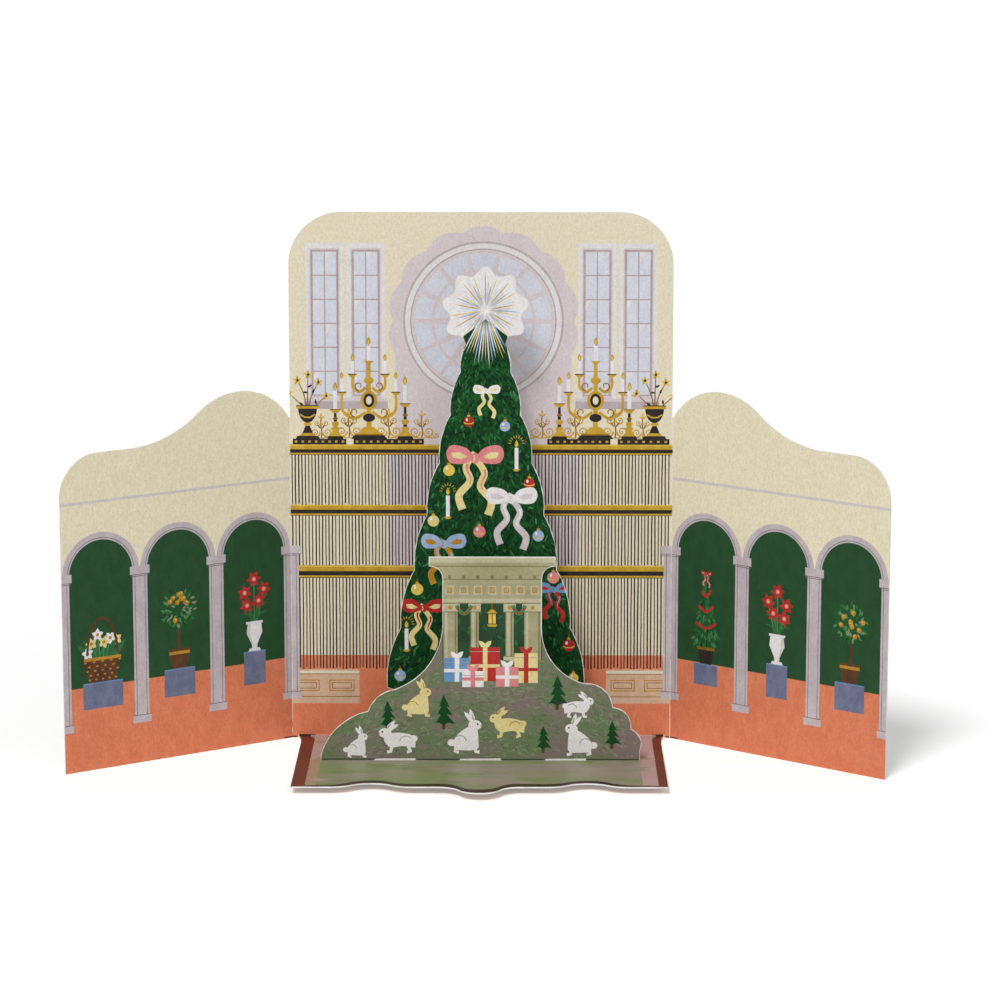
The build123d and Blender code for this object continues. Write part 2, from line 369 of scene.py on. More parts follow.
# Inks: the main tone and the second tone of the brushed wash, as sRGB
INKS = {
    "paper": ("e8e5e0", "e4e0da"),
    "cream": ("e1d7be", "e0d6bb"),
    # wing_cream is the wings' own cream print, made lighter still as painted light to brighten the wings,
    # which the lamps leave darker than the panel.
    "wing_cream": ("e8dfc2", "e6dcbd"),
    "stone_white": ("dfdbdc", "dad7d7"),
    "lavender": ("d3c8ca", "d0c4c7"),
    "lavender_deep": ("baadb0", "b1a3a7"),
    "glass": ("d3d5de", "cdd0db"),
    "mauve_line": ("b6a5a3", "aa9997"),
    "gold": ("c8a236", "b89228"),
    "gold_light": ("dec35d", "d6b74b"),
    "gold_dark": ("91671f", "815917"),
    "black": ("201d1a", "2d2824"),
    "terracotta": ("da825e", "d47a57"),
    "plinth": ("d3b498", "caaa8e"),
    "bay_green": ("234a2b", "1f4425"),
    "pillar": ("c3b9bc", "baafb3"),
    "pillar_line": ("807479", "72676c"),
    "slate": ("727992", "646b86"),
    "tree": ("103e1c", "0c3417"),
    "tree_dark": ("04270d", "041f0a"),
    "tree_mid": ("1b5329", "174922"),
    "tree_light": ("2d6a39", "276030"),
    "tree_pale": ("4a8152", "417548"),
    "moss": ("657854", "7e6f69"),
    "moss_light": ("798a65", "868170"),
    "moss_dark": ("5b6d4b", "71665b"),
    "moss_mauve": ("80746a", "7d6e6b"),
    "stone": ("a7a280", "9a946f"),
    "stone_light": ("bdb898", "b2ac8b"),
    "stone_dark": ("817955", "736b48"),
    "shade_green": ("28452c", "203924"),
    "white": ("e6e3e2", "e2dedd"),
    "grey": ("a6a09f", "999392"),
    "red": ("b5312c", "a62927"),
    "pink": ("da8889", "d27c7e"),
    "sky_pale": ("d0d7e2", "c7d0dd"),
    "sky": ("a0b4d3", "94a9cb"),
    "blue": ("6b94bd", "5e88b3"),
    "straw": ("e1d295", "d8c786"),
    "ochre": ("ba8b2f", "aa7b26"),
    "brown": ("5d3c25", "51321f"),
    "border": ("672d1e", "5b2618"),
    "border_dark": ("35211c", "2b1b17"),
    "floor": ("7e895c", "998b80"),
    "floor_green": ("778356", "898567"),
    "floor_mid": ("898a6f", "8f8978"),
    "floor_mauve": ("9a8d84", "92897c"),
    # floor_rose and floor_tan beside the hill are painted reflection of the terracotta walls.
    "floor_rose": ("b79b99", "ae928f"),
    "floor_tan": ("a68a70", "9d8168"),
}


def linear(tone):
    """Return a written sRGB tone as linear red, green and blue with full alpha."""
    channels = [int(tone[i : i + 2], 16) / 255 for i in (0, 2, 4)]
    return [c / 12.92 if c <= 0.04045 else ((c + 0.055) / 1.055) ** 2.4 for c in channels] + [1.0]


TONES = {name: (linear(main), linear(wash)) for name, (main, wash) in INKS.items()}


# Motifs of the back panel


def flame(x, y, size=1.0):
    """Return a candle flame that stands on x, y."""
    return [
        ("gold", leaf(x, y, 3.0 * size, 1.5 * size, UP)),
        ("gold_light", leaf(x, y + 0.3 * size, 1.7 * size, 0.8 * size, UP)),
    ]


def candlestick(height):
    """Return a turned candlestick with its candle, standing on the origin."""
    pan = height - 0.7
    candle_foot = pan + 0.75
    candle_top = candle_foot + 6.0
    motif = [
        ("black", taper(0, 0, 5.4, 4.6, 0.9)),
        ("gold", taper(0, 0.9, 4.2, 1.6, 2.2)),
        ("black", taper(0, 3.1, 1.3, 0.8, pan - 3.1)),
        ("gold", oval(0, 3.4, 1.4, 0.7, 14)),
        ("gold", oval(0, 0.35 * height + 1.5, 1.2, 0.9, 14)),
        ("gold_dark", oval(0, 0.62 * height + 0.6, 0.9, 0.5, 12)),
        ("gold", taper(0, pan - 0.6, 1.4, 3.6, 1.0)),
        slab("gold_dark", 0, 1.8, pan + 0.4, candle_foot),
        slab("white", 0, 0.65, candle_foot, candle_top),
        ("stone_white", box(0.2, candle_foot, 0.65, candle_top)),
    ]
    return motif + flame(0, candle_top + 0.15)


def candelabrum():
    """Return a five-light candelabrum with curled arms, standing on the origin."""
    motif = [
        ("black", taper(0, 0, 11.0, 9.4, 1.1)),
        ("gold", taper(0, 1.1, 8.6, 3.0, 2.6)),
        slab("gold_dark", 0, 4.4, 1.1, 1.5),
        ("gold", taper(0, 3.7, 1.6, 1.1, 20.5)),
        ("black", oval(0, 6.6, 1.9, 1.3, 16)),
        ("gold", oval(0, 12.0, 2.6, 3.1, 20)),
        ("black", oval(0, 12.0, 1.7, 2.2, 18)),
        ("cream", oval(0, 12.0, 0.9, 1.3, 14)),
        ("gold", oval(0, 18.2, 1.6, 1.1, 14)),
    ]
    arms = (
        ((1.0, 8.4), (4.4, 6.4), (8.0, 8.6), (8.3, 13.6)),
        ((1.0, 16.0), (3.0, 14.6), (4.9, 16.2), (5.0, 19.2)),
    )
    for side in (-1, 1):
        for arm in arms:
            path = flipped(curve(arm, 5), side)
            curl = spiral(side * arm[1][0], arm[1][1] + 1.9, 1.5, -UP, 0.9, side, 12)
            x, y = path[-1]
            motif += [
                ("gold", stroke(path, 0.95, 0.8)),
                ("gold_dark", stroke(curl, 0.45, 0.6)),
                ("gold", taper(x, y, 1.0, 2.8, 0.8)),
                slab("black", x, 1.4, y + 0.8, y + 1.1),
                slab("white", x, 0.5, y + 1.1, y + 5.0),
            ]
            motif += flame(x, y + 5.1, 0.75)
    motif += [("gold", taper(0, 23.4, 1.2, 3.2, 0.9)), slab("white", 0, 0.6, 24.3, 29.0)]
    return motif + flame(0, 29.1, 0.9)


def sprig_urn():
    """Return a footed urn with budding sprigs, standing on the origin."""
    motif = []
    for reach, lift in ((-5.6, 14.2), (-3.0, 18.2), (0.3, 20.0), (3.4, 17.6), (5.8, 13.4)):
        path = curve([(reach * 0.1, 9.5), (reach * 0.35, lift * 0.75), (reach, lift)], 5)
        motif.append(("gold_dark", stroke(path, 0.45, 0.6)))
        motif += petals(("gold_light", "gold"), reach, lift, 5, 1.5, 0.75, 0.4)
        motif.append(dot("black", reach, lift, 0.4))
        motif.append(("black", leaf(reach * 0.45, lift * 0.8, 1.7, 0.7, 0.5 + reach * 0.2)))
    return motif + [
        ("black", taper(0, 0, 7.4, 6.4, 0.9)),
        ("gold", taper(0, 0.9, 5.2, 3.4, 0.9)),
        ("black", taper(0, 1.8, 3.2, 1.1, 2.6)),
        ("gold", oval(0, 4.6, 1.3, 0.6, 12)),
        ("black", oval(0, 9.6, 2.9, 4.6, 16, math.pi, FULL_TURN)),
        ("gold", stroke([(-2.3, 7.6), (-0.8, 6.7), (0.8, 6.7), (2.3, 7.6)], 0.5)),
        slab("gold", 0, 3.5, 9.4, 10.2),
        slab("black", 0, 3.5, 10.2, 10.5),
    ]


def ledge_scroll():
    """Return a stand of gilt scrolls round an upright bud, standing on the origin."""
    motif = [("gold_dark", stroke(curve([(0, 0.2), (0.25, 3.0), (-0.2, 6.0), (0, 9.0)], 4), 0.5))]
    curls = ((2.5, 2.6, 2.0, 1.4, 0.62), (1.7, 6.6, 1.35, 1.2, 0.5), (5.3, 1.5, 1.15, 1.1, 0.45))
    for side in (-1, 1):
        for x, y, radius, turns, width in curls:
            curl = spiral(side * x, y, radius, UP + side * UP, turns, side)
            motif += [("gold", stroke(curl, width, 0.55)), dot("black", side * x, y, 0.22, 8)]
        rise = curve(flipped([(0.5, 0.3), (2.4, 0.5), (4.6, 0.3), (6.4, 0.9)], side), 4)
        motif += [
            ("gold", stroke(rise, 0.5, 0.7)),
            ("gold_dark", leaf(side * 0.3, 4.2, 2.4, 0.7, UP - side * 0.6)),
            ("gold", leaf(side * 0.2, 8.4, 1.8, 0.6, UP - side * 0.8)),
        ]
    return motif + [("gold", leaf(0, 8.4, 2.6, 0.9, UP)), ("gold_light", leaf(0, 8.8, 1.4, 0.45, UP))]


def rosette(x, y):
    """Return a round tracery window with a scalloped surround."""
    lobes, lobe_steps, panes = 14, 8, 14
    rim = []
    for i in range(lobes * lobe_steps):
        angle = FULL_TURN * i / (lobes * lobe_steps)
        rim.append(polar(x, y, 30.0 + 1.7 * abs(math.sin(lobes * angle / 2)), angle))
    rings = (("lavender_deep", 26.6), ("stone_white", 25.9), ("mauve_line", 24.2), ("lavender", 23.8))
    motif = [("lavender", rim)] + [dot(ink, x, y, radius, 64) for ink, radius in rings]
    half = math.pi / panes
    for i in range(panes):
        middle = FULL_TURN * (i + 0.5) / panes
        head, foot, lower = (
            oval(x, y, radius, radius, steps, middle - half + bar, middle + half - bar)
            for radius, steps, bar in ((22.6, 7, 0.03), (17.2, 5, 0.045), (16.2, 5, 0.05))
        )
        motif += [("glass", head + foot[::-1]), ("glass", lower + [polar(x, y, 6, middle)])]
    return motif


def casement(x, foot, head, width):
    """Return a tall square-headed window with small panes and a sill."""
    half = width / 2
    motif = [
        slab("stone_white", x, half + 2.0, foot - 0.8, head + 2.4),
        slab("lavender", x, half + 0.7, foot - 0.8, head + 0.8),
        slab("lavender_deep", x, half + 2.8, foot - 4.4, foot - 0.8),
        slab("lavender", x, half + 2.8, foot - 1.9, foot - 0.8),
        slab("mauve_line", x, half + 0.3, foot, head + 0.3),
    ]
    columns, rows, bar = 2, 6, 0.42
    wide = (width - bar) / columns
    tall = (head - foot - bar) / rows
    for column in range(columns):
        for row in range(rows):
            x0, y0 = x - half + bar + column * wide, foot + bar + row * tall
            x1, y1 = x0 + wide - bar, y0 + tall - bar
            motif.append(("glass", box(x0, y0, x1, y1)))
            if (row + column) % 3 == 0:
                motif.append(("stone_white", [(x0, y0 + 0.5 * tall), (x0 + 0.5 * wide, y1), (x0, y1)]))
    return motif


def banding(y, height):
    """Return a gilt moulding across the panel whose top is at y."""
    courses = (
        ("gold", 0.46, 0.0), ("gold_light", 0.12, 0.04), ("black", 0.8, 0.46),
        ("gold", 0.95, 0.8), ("black", 1.0, 0.95),
    )
    return [slab(ink, 0, PRINT_HALF, y - low * height, y - high * height) for ink, low, high in courses]


def draw_screen(rng, tiers):
    """Return rows of fine upright bars, each drawn by hand."""
    pitch, width, sway = 1.11, 0.42, 0.09
    motif = []
    for low, high in tiers:
        x = -HALF_PANEL + pitch / 2
        while x < HALF_PANEL:
            foot, waist, head = (x + rng.uniform(-sway, sway) for _ in range(3))
            thick = width * rng.uniform(0.82, 1.2) / 2
            lean = low + (high - low) * rng.uniform(0.35, 0.65)
            end = low + rng.uniform(-0.25, 0.35)
            spine = ((foot, end), (waist, lean), (head, high))
            left, right = ([(p + reach, q) for p, q in spine] for reach in (-thick, thick))
            motif.append(("black", left[:1] + right + left[:0:-1]))
            x += pitch
    return motif


def framed_plinth(x0, x1, low, high):
    """Return a low panelled wall between two places."""
    motif = [
        ("plinth", box(x0, low, x1, high)),
        ("cream", box(x0, high - 1.5, x1, high - 0.5)),
        ("gold_dark", box(x0, high - 1.75, x1, high - 1.5)),
        ("gold_dark", box(x0, low + 2.2, x1, low + 2.45)),
    ]
    fields, foot, head = 2, low + 4.2, high - 3.6
    pitch = (x1 - x0) / fields
    for i in range(fields):
        left, right = x0 + (i + 0.14) * pitch, x0 + (i + 0.86) * pitch
        for ink, rim in (("ochre", 0.0), ("plinth", 0.35), ("gold_dark", 0.9), ("plinth", 1.15)):
            motif.append((ink, box(left + rim, foot + rim, right - rim, head - rim)))
    return motif


def draw_panel(rng):
    """Return the print of the back panel: a wall with windows above a gilt screen."""
    plinth_foot, plinth_top, skirting, ledge_top = 11.9, 23.7, 28.6, 100.6
    window_foot, window_head, window_width = 117.0, 165.5, 8.6
    tiers = ((24.0, 55.1), (59.5, 76.4), (80.2, 97.0))
    motif = [
        slab("terracotta", 0, PRINT_HALF, 0, skirting),
        slab("cream", 0, PRINT_HALF, skirting, ledge_top),
        ("lavender", box(-30.8, tiers[1][0], 32.5, ledge_top)),
        ("lavender", box(-28.4, ledge_top, 30.0, 141.0)),
    ]
    motif += rosette(0.8, 142.0)
    for x in (-51.6, -38.0, 38.4, 52.0):
        motif += casement(x, window_foot, window_head, window_width)
    motif += draw_screen(rng, tiers)
    for (_, low), (high, _) in zip(tiers, tiers[1:]):
        motif += banding(high, high - low)
    motif += framed_plinth(-PRINT_HALF, -41.0, plinth_foot, plinth_top)
    motif += framed_plinth(42.0, PRINT_HALF, plinth_foot, plinth_top)
    motif += banding(ledge_top, ledge_top - tiers[-1][1])
    stand, stud_pitch = ledge_top + 1.9, 2.2
    for x0, x1 in ((-62.6, -44.8), (-42.4, -19.0), (22.0, 43.0), (45.4, 62.6)):
        motif.append(("black", box(x0, ledge_top, x1, stand)))
        studs = int((x1 - x0) / stud_pitch)
        for i in range(studs):
            x = x0 + (i + 0.5) * (x1 - x0) / studs
            motif.append(slab("gold", x, 0.42, ledge_top + 0.6, ledge_top + 1.3))
    for side in (-1, 1):
        for x, scale in ((53.4, 0.8), (44.2, 0.95), (31.0, 0.95), (20.0, 0.9)):
            motif += moved(ledge_scroll(), side * x + 0.3, stand, scale)
        for x, height in ((48.8, 10.0), (25.6, 12.0)):
            motif += moved(candlestick(height), side * x + 0.4, stand)
        motif += moved(sprig_urn(), side * 57.6, stand, 1.08)
        motif += moved(candelabrum(), side * 37.6 + 0.4, stand, 1.08)
    return motif


# Motifs of the wings


def block(width, height):
    """Return a slate plinth block, standing on the origin."""
    return [slab("slate", 0, width / 2, 0, height), slab("blue", 0, width / 2, height - 0.35, height)]


def round_tree(rng):
    """Return a clipped orange tree in a tub."""
    middle, leaves, fruits = 28.4, 90, 9
    motif = block(11.0, 9.0) + [
        ("brown", taper(0, 9.0, 5.6, 7.4, 6.4)),
        slab("ochre", 0, 3.7, 13.6, 14.6),
        ("brown", stroke([(0, 15.0), (0.3, 19.0), (0, 23.0)], 1.1)),
        dot("tree_mid", 0, middle, 6.6, 28),
    ]
    for _ in range(leaves):
        angle, reach = rng.uniform(0, FULL_TURN), 5.6 * math.sqrt(rng.random())
        x, y = polar(0, middle, reach, angle)
        ink = rng.choice(("tree_light", "tree_pale", "tree", "moss_light"))
        motif.append((ink, leaf(x, y, 1.7, 0.7, angle + rng.uniform(-0.8, 0.8))))
    for _ in range(fruits):
        angle, reach = rng.uniform(0, FULL_TURN), 5.0 * math.sqrt(rng.random())
        x, y = polar(0, middle, reach, angle)
        motif += [dot("ochre", x, y, 0.85, 12), dot("gold_light", x - 0.2, y + 0.25, 0.3, 8)]
    return motif


def red_lilies(rng):
    """Return red lilies in a white urn."""
    motif = block(8.0, 11.0)
    heads = ((-3.6, 31.0), (3.4, 30.4), (0.0, 34.6), (-1.6, 27.4), (2.6, 26.2))
    for x, y in heads:
        motif.append(("tree_pale", stroke(curve([(x * 0.15, 19.5), (x * 0.5, 24.0), (x, y)], 4), 0.5)))
    for side in (-1, 1):
        for lift in (24.0, 27.0):
            path = curve([(0, 19.5), (side * 2.0, lift - 1.0), (side * 4.6, lift - 0.5)], 4)
            motif.append(("tree_light", stroke(path, 1.1, 0.15)))
    for x, y in heads:
        motif += petals(("red",), x, y, 6, 2.7, 1.5, rng.uniform(0, 1))
        motif += [dot("pink", x, y, 0.75), dot("gold_light", x, y, 0.35, 8)]
    return motif + [
        ("stone_white", taper(0, 11.0, 4.6, 3.6, 1.0)),
        ("stone_white", taper(0, 12.0, 1.8, 2.2, 1.6)),
        ("white", [(-1.1, 13.4), (1.1, 13.4), (2.9, 17.0), (2.5, 20.2), (-2.5, 20.2), (-2.9, 17.0)]),
        ("lavender", [(0.7, 13.4), (1.1, 13.4), (2.9, 17.0), (2.5, 20.2), (1.3, 20.2), (1.7, 17.0)]),
        slab("stone_white", 0, 3.1, 20.0, 20.8),
    ]


def flower_basket(rng):
    """Return a dark woven basket of white and straw flowers."""
    motif = block(14.0, 8.4)
    for x in (-5.0, -2.8, -0.6, 1.6, 3.8, 5.2):
        y = 20.0 + rng.uniform(0, 4.5) - abs(x) * 0.4
        motif.append(("tree_light", leaf(x * 0.6, 15.0, 8.5, 2.2, UP - x * 0.14)))
        motif.append(("tree_pale", stroke([(x * 0.4, 15.0), (x, y)], 0.45)))
        motif += petals(("straw" if int(x * 5) % 2 else "white",), x, y, 5, 2.1, 1.5, x)
        motif.append(dot("ochre", x, y, 0.6))
    motif.append(("brown", [(-4.6, 8.4), (4.6, 8.4), (6.2, 16.0), (-6.2, 16.0)]))
    rows, strands = 5, 9
    for row in range(rows):
        for i in range(strands):
            x = (i - 4) * (1.15 + row * 0.09) + (0.5 if row % 2 else 0.0)
            motif.append(("border" if (i + row) % 2 else "ochre", oval(x, 9.4 + row * 1.4, 0.5, 0.28, 8)))
    handle = oval(0, 16.0, 5.4, 13.0, 15, 0.1, math.pi - 0.1)
    return motif + [slab("ochre", 0, 6.5, 15.4, 16.4), ("brown", stroke(handle, 0.8))]


def cone_tree(rng):
    """Return a clipped cone of yew with a ribbon, in a dark pot."""
    tip, leaves = 37.0, 110
    motif = block(9.0, 7.0) + [
        ("black", taper(0, 7.0, 4.4, 6.4, 5.4)),
        slab("gold_dark", 0, 3.4, 11.6, 12.6),
        ("tree_mid", [(-5.4, 14.4), (-4.6, 13.4), (4.6, 13.4), (5.4, 14.4), (0.5, tip), (-0.5, tip)]),
    ]
    for _ in range(leaves):
        y = 14.0 + 21.0 * rng.random() ** 1.5
        x = rng.uniform(-1, 1) * (tip - y) * 0.2
        ink = rng.choice(("tree_light", "tree_pale", "tree", "tree_light"))
        motif.append((ink, leaf(x, y, 2.0, 0.7, -UP + x * 0.18 + rng.uniform(-0.5, 0.5))))
    for y, reach in ((19.5, 3.9), (25.0, 2.8), (30.0, 1.8)):
        path = curve([(-reach, y + 0.8), (0, y - 0.8), (reach, y + 1.4)], 4)
        motif.append(("red", stroke(path, 0.9)))
    return motif + moved(bow("red", "pink"), 0, 36.6, 0.22)


def draw_wing(rng, side, turn, plants):
    """Return the print of one wing: an arcade of planted bays."""

    def across(distance):
        return side * (HALF_PANEL + FOLD_RADIUS * turn + distance)

    def wall(ink, w0, y0, w1, y1):
        x0, x1 = sorted((across(w0), across(w1)))
        return (ink, box(x0, y0, x1, y1))

    spring, rail, wall_top = 65.0, 88.8, 130.0
    pillar_half, foot = 2.7, 13.5
    plant_foot, plant_scale = 20.5, 1.04
    pitch = WING_WIDTH / len(plants)
    outer = WING_WIDTH + 1
    motif = [
        wall("wing_cream", 0, WING_GROUND, outer, wall_top),
        wall("terracotta", 0, 0, outer, WING_GROUND),
        wall("lavender", 0, rail, outer, rail + 0.9),
    ]
    for i in range(len(plants)):
        x0, x1 = sorted((across(i * pitch + pillar_half), across((i + 1) * pitch - pillar_half)))
        for ink, band in (("pillar", 2.5), ("pillar_line", 0.75), ("pillar", 0.5), ("bay_green", 0.0)):
            motif.append((ink, arch(x0 - band, WING_GROUND, x1 + band, spring, 32)))
    courses = (
        ("pillar", 0.7, foot, foot + 2.4),
        ("pillar_line", 0.7, foot + 2.4, foot + 2.65),
        ("pillar_line", 0.5, spring - 2.3, spring - 2.05),
        ("pillar", 0.9, spring - 1.5, spring + 1.2),
        ("pillar_line", 0.9, spring - 1.75, spring - 1.5),
    )
    for i in range(len(plants) + 1):
        w = i * pitch
        motif.append(wall("pillar", w - pillar_half, foot, w + pillar_half, spring))
        for edge in (0.75 - pillar_half, pillar_half - 1.0):
            motif.append(wall("pillar_line", w + edge, foot + 2.6, w + edge + 0.22, spring))
        for ink, ledge, low, high in courses:
            reach = pillar_half + ledge
            motif.append(wall(ink, w - reach, low, w + reach, high))
    for i, plant in enumerate(plants):
        motif += moved(plant(rng), across((i + 0.5) * pitch), plant_foot, plant_scale, side)
    motif.append(wall("border", -1.6, -0.1, 3.2, 0.55))
    return motif


# Floor flap


def floor_edge():
    """Return the right half of the floor flap's edge, from its middle to its fold, measured from the fold."""
    half_bow = FLOOR_BOW_WIDTH / 2
    inner = half_bow + FLOOR_BOW_GAP
    corner = FLOOR_WIDTH / 2
    outer = corner - FLOOR_CORNER_LENGTH
    front = -FLOOR_DEPTH
    crown = ((inner + outer) / 2, front + FLOOR_ARCH_DEPTH)
    edge = [(0.0, front - FLOOR_BOW_DEPTH)]
    edge += ogee(edge[0], (half_bow, front), 0.5, 0.0)
    edge.append((inner, front))
    edge += ogee((inner, front), crown, 0.5, 0.0)
    edge += ogee(crown, (outer, front), 0.5, 0.0)
    edge += [(corner, front), (corner, -FLOOR_FLARE_LENGTH)]
    return edge + tangent_arc((corner, -FLOOR_FLARE_LENGTH), (HALF_FLOOR_FOLD, 0.0), UP)[0]


def flat_floor(points):
    """Return points of the floor flap on the flat sheet."""
    return [(x, FOLD_LINE - FLOOR_BEND_LENGTH + y) for x, y in points]


def field_side(border):
    """Return the right half of the edge of the floor's field, inside a side border of a given width.

    The front border is widest in the middle. It narrows as the bow ends, and again before the corner.
    """
    edge, flare, back = FLOOR_WIDTH / 2 - border, 1.6, 1.2
    widest, bow_loss, bow_end, corner_loss, corner_start, corner_run = 4.6, 1.2, 20, 1.9, 42, 8
    side = []
    for x, y in floor_edge():
        if y < -FLOOR_FLARE_LENGTH - 0.01:
            past_bow = min(1.0, x / bow_end)
            in_corner = min(1.0, max(0.0, (x - corner_start) / corner_run))
            side.append((min(x, edge), y + (widest - bow_loss * past_bow - corner_loss * in_corner)))
    side += [(edge, -9.0), (edge, -6.0)]
    side += tangent_arc(side[-1], (edge + flare, -back), UP, 6)[0]
    return side + [(edge + flare, 0.0)]


def draw_floor(rng):
    """Return the print of the floor flap: a brushed field inside a brown border, darker at the front, with
    painted reflection in rose and tan beside the hill and painted shade at the crease's ends.
    """
    left, right = 4.4, 2.9
    left_end, right_end = left - FLOOR_WIDTH / 2, FLOOR_WIDTH / 2 - right
    right_side, left_side = field_side(right), field_side(left)
    field = flat_floor(right_side + flipped(left_side[:0:-1]))
    past_front, shade_start, strokes = -95.0, -50.0, 170
    motif = [
        slab("border", 0, FLOOR_ENDS, past_front, FOLD_LINE - FLOOR_BEND_LENGTH / 2),
        ("border_dark", box(left_end, past_front, right_end, shade_start)),
    ]
    # Dark strips across the border at both ends of the crease: painted shade in the corners beside the wings.
    for x0, x1 in ((-FLOOR_ENDS, left_end + 0.1), (right_end + 0.3, FLOOR_ENDS)):
        motif.append(("border_dark", flat_floor(box(x0, -1.7, x1, FLOOR_BEND_LENGTH))))
    motif.append(("floor", field))
    rear = [right_side[-1], (-left_side[-1][0], 0.0)]
    crease = [(x, FLOOR_BEND_LENGTH * 0.55) for x, _ in rear[::-1]]
    motif.append(("floor_rose", flat_floor(rear + crease)))
    # Rose beyond the hill's ends and tan at the left front corner: painted reflection of the terracotta walls
    # in the floor's satin print.
    front = 1.8 - FLOOR_DEPTH
    for inner, outer in ((HILL_HALF, right_end), (-HILL_HALF, left_end)):
        motif.append(("floor_rose", flat_floor(box(inner, front, outer, -0.5))))
    tan_reflection_corner = [(-HILL_HALF, front), (left_end, front), (left_end, -36.0), (-HILL_HALF, -30.0)]
    motif.append(("floor_tan", flat_floor(tan_reflection_corner)))
    for _ in range(strokes):
        x, y = rng.uniform(-56, 58), rng.uniform(-76, -3)
        # Behind the hill and beyond its ends the strokes are rose and tan, more painted reflection of the
        # terracotta walls.
        if y > -HILL_DISTANCE or abs(x) > HILL_HALF:
            ink = rng.choice(("floor_rose", "floor_rose", "floor_mauve", "floor_tan"))
            length = rng.uniform(3, 7)
        else:
            ink = rng.choice(("floor_mauve", "floor_green", "floor_mid", "floor_mid", "floor"))
            length = rng.uniform(6, 18)
        mark = flat_floor(leaf(x, y, length, rng.uniform(1.8, 5.0), rng.uniform(-0.12, 0.12)))
        if all(holds(field, *p) for p in mark):
            motif.append((ink, mark))
    return motif


# Motifs of the tree


def bow(ink, lining):
    """Return a tied bow with two fluttering tails, its knot on the origin."""
    tail_path = curve([(0, 0), (3.2, -5.0), (1.8, -10.0), (5.6, -15.0), (4.4, -20.0)], 5)
    loop_path = [(0, 0), (3.0, 3.6), (8.2, 4.6), (10.0, 1.6), (8.4, -1.6), (3.6, -1.8), (0, 0)]
    fold = [(2.6, 0.5), (5.4, 2.2), (8.2, 2.0), (7.6, 0.2), (5.0, -0.3)]
    motif = []
    for side, lift in ((-1, 2.0), (1, 0.0)):
        tail = [(side * x, y + lift) for x, y in tail_path]
        shadow = [(x + 0.3, y) for x, y in tail[4:12]]
        motif += [(lining, stroke(tail, 2.2, 1.25)), (ink, stroke(shadow, 1.0, 0.3))]
    for side in (-1, 1):
        motif += [(ink, curve(flipped(loop_path, side), 4)[:-1]), (lining, flipped(fold, side))]
    return motif + [
        (ink, oval(0, 0, 1.7, 1.9, 16)),
        (lining, stroke([(-0.5, -1.1), (-0.2, 0.0), (-0.5, 1.1)], 0.45)),
    ]


def bauble(ink, radius):
    """Return a glass ball with its cap and a highlight, hung from the origin."""
    middle = -1.5 - radius
    band = oval(0, middle, radius, 0.4 * radius, 9, math.pi + 0.3, FULL_TURN - 0.3)
    return [
        ("gold_dark", stroke([(0, 0), (0, -1.0)], 0.3)),
        slab("gold", 0, 0.5, -1.7, -0.9),
        dot(ink, 0, middle, radius, 20),
        ("gold_light", stroke(band, 0.3)),
        ("white", oval(-0.35 * radius, -1.5 - 0.6 * radius, 0.22 * radius, 0.3 * radius, 10)),
    ]


def tree_candle():
    """Return a lit candle in a clip, standing on the origin."""
    rays, top = 9, 8.4
    motif = [
        ("gold", taper(0, -0.9, 1.4, 3.0, 0.9)),
        slab("white", 0, 0.75, 0, top),
        ("stone_white", box(0.25, 0, 0.75, top)),
    ]
    for i in range(rays):
        angle = math.pi * i / (rays - 1)
        motif.append(("gold", leaf(*polar(0, 10.2, 1.9, angle), 1.5, 0.32, angle)))
    return motif + flame(0, 8.5)


def tree_loop():
    """Return the tree's outline without its star, anticlockwise from the middle of its foot."""
    parts = [(bough / TREE_BOUGHS) ** BOUGH_GROWTH for bough in range(TREE_BOUGHS + 1)]
    boughs = [tuple(a + (b - a) * part for a, b in zip(TREE_TOP, TREE_SKIRT)) for part in parts]
    right = scallops(boughs, BOUGH_DEPTH) + [TREE_FOOT, (TREE_FOOT[0], 0.0)]
    return [(0.0, 0.0)] + right[::-1] + flipped(right)


def star_loop():
    """Return the star's outline."""
    corners = []
    for i in range(2 * STAR_POINTS):
        reach = STAR_TIP if i % 2 == 0 else STAR_VALLEY
        corners.append(polar(0, STAR_HEIGHT, reach, UP + i * math.pi / STAR_POINTS))
    return rounded(corners, STAR_ROUNDING)


def tree_half(y):
    """Return the tree's half width at a height, within its boughs."""
    part = (TREE_TOP[1] - max(y, TREE_SKIRT[1])) / (TREE_TOP[1] - TREE_SKIRT[1])
    return TREE_TOP[0] + (TREE_SKIRT[0] - TREE_TOP[0]) * part


def draw_star():
    """Return the white star, its fine rays, and those that run down over the tree's top."""
    motif = [("white", star_loop())]
    star_inks = ("gold", "sky_pale", "sky_pale", "gold_light", "sky", "lavender")
    rays, start = 54, 1.2
    for i in range(rays):
        angle = UP + FULL_TURN * i / rays
        length, width = (13.0, 0.42) if i % 3 == 0 else (11.4, 0.6)
        reach = length - 0.6 * ((i * 7) % 5)
        ray = leaf(*polar(0, STAR_HEIGHT, start, angle), reach - start, width, angle)
        motif.append((star_inks[i % 6], ray))
    cap = [(0.0, -3.0), (-7.2, -8.6), (-7.0, -15.6), (7.0, -15.6), (7.2, -8.6)]
    motif.append(("tree", [(x, STAR_HEIGHT + y) for x, y in cap]))
    fall_inks = ("white", "sky_pale", "gold_light", "white", "sky")
    rays, start, spread = 15, 3.0, math.radians(28.0)
    for i in range(rays):
        lean = spread * (2 * i / (rays - 1) - 1)
        reach = 19.8 - 7.0 * abs(lean) - 0.9 * ((i * 5) % 4)
        ray = leaf(*polar(0, STAR_HEIGHT, start, lean - UP), reach - start, 0.46, lean - UP)
        motif.append((fall_inks[i % 5], ray))
    return motif + [dot("white", 0, STAR_HEIGHT, 1.5, 16)]


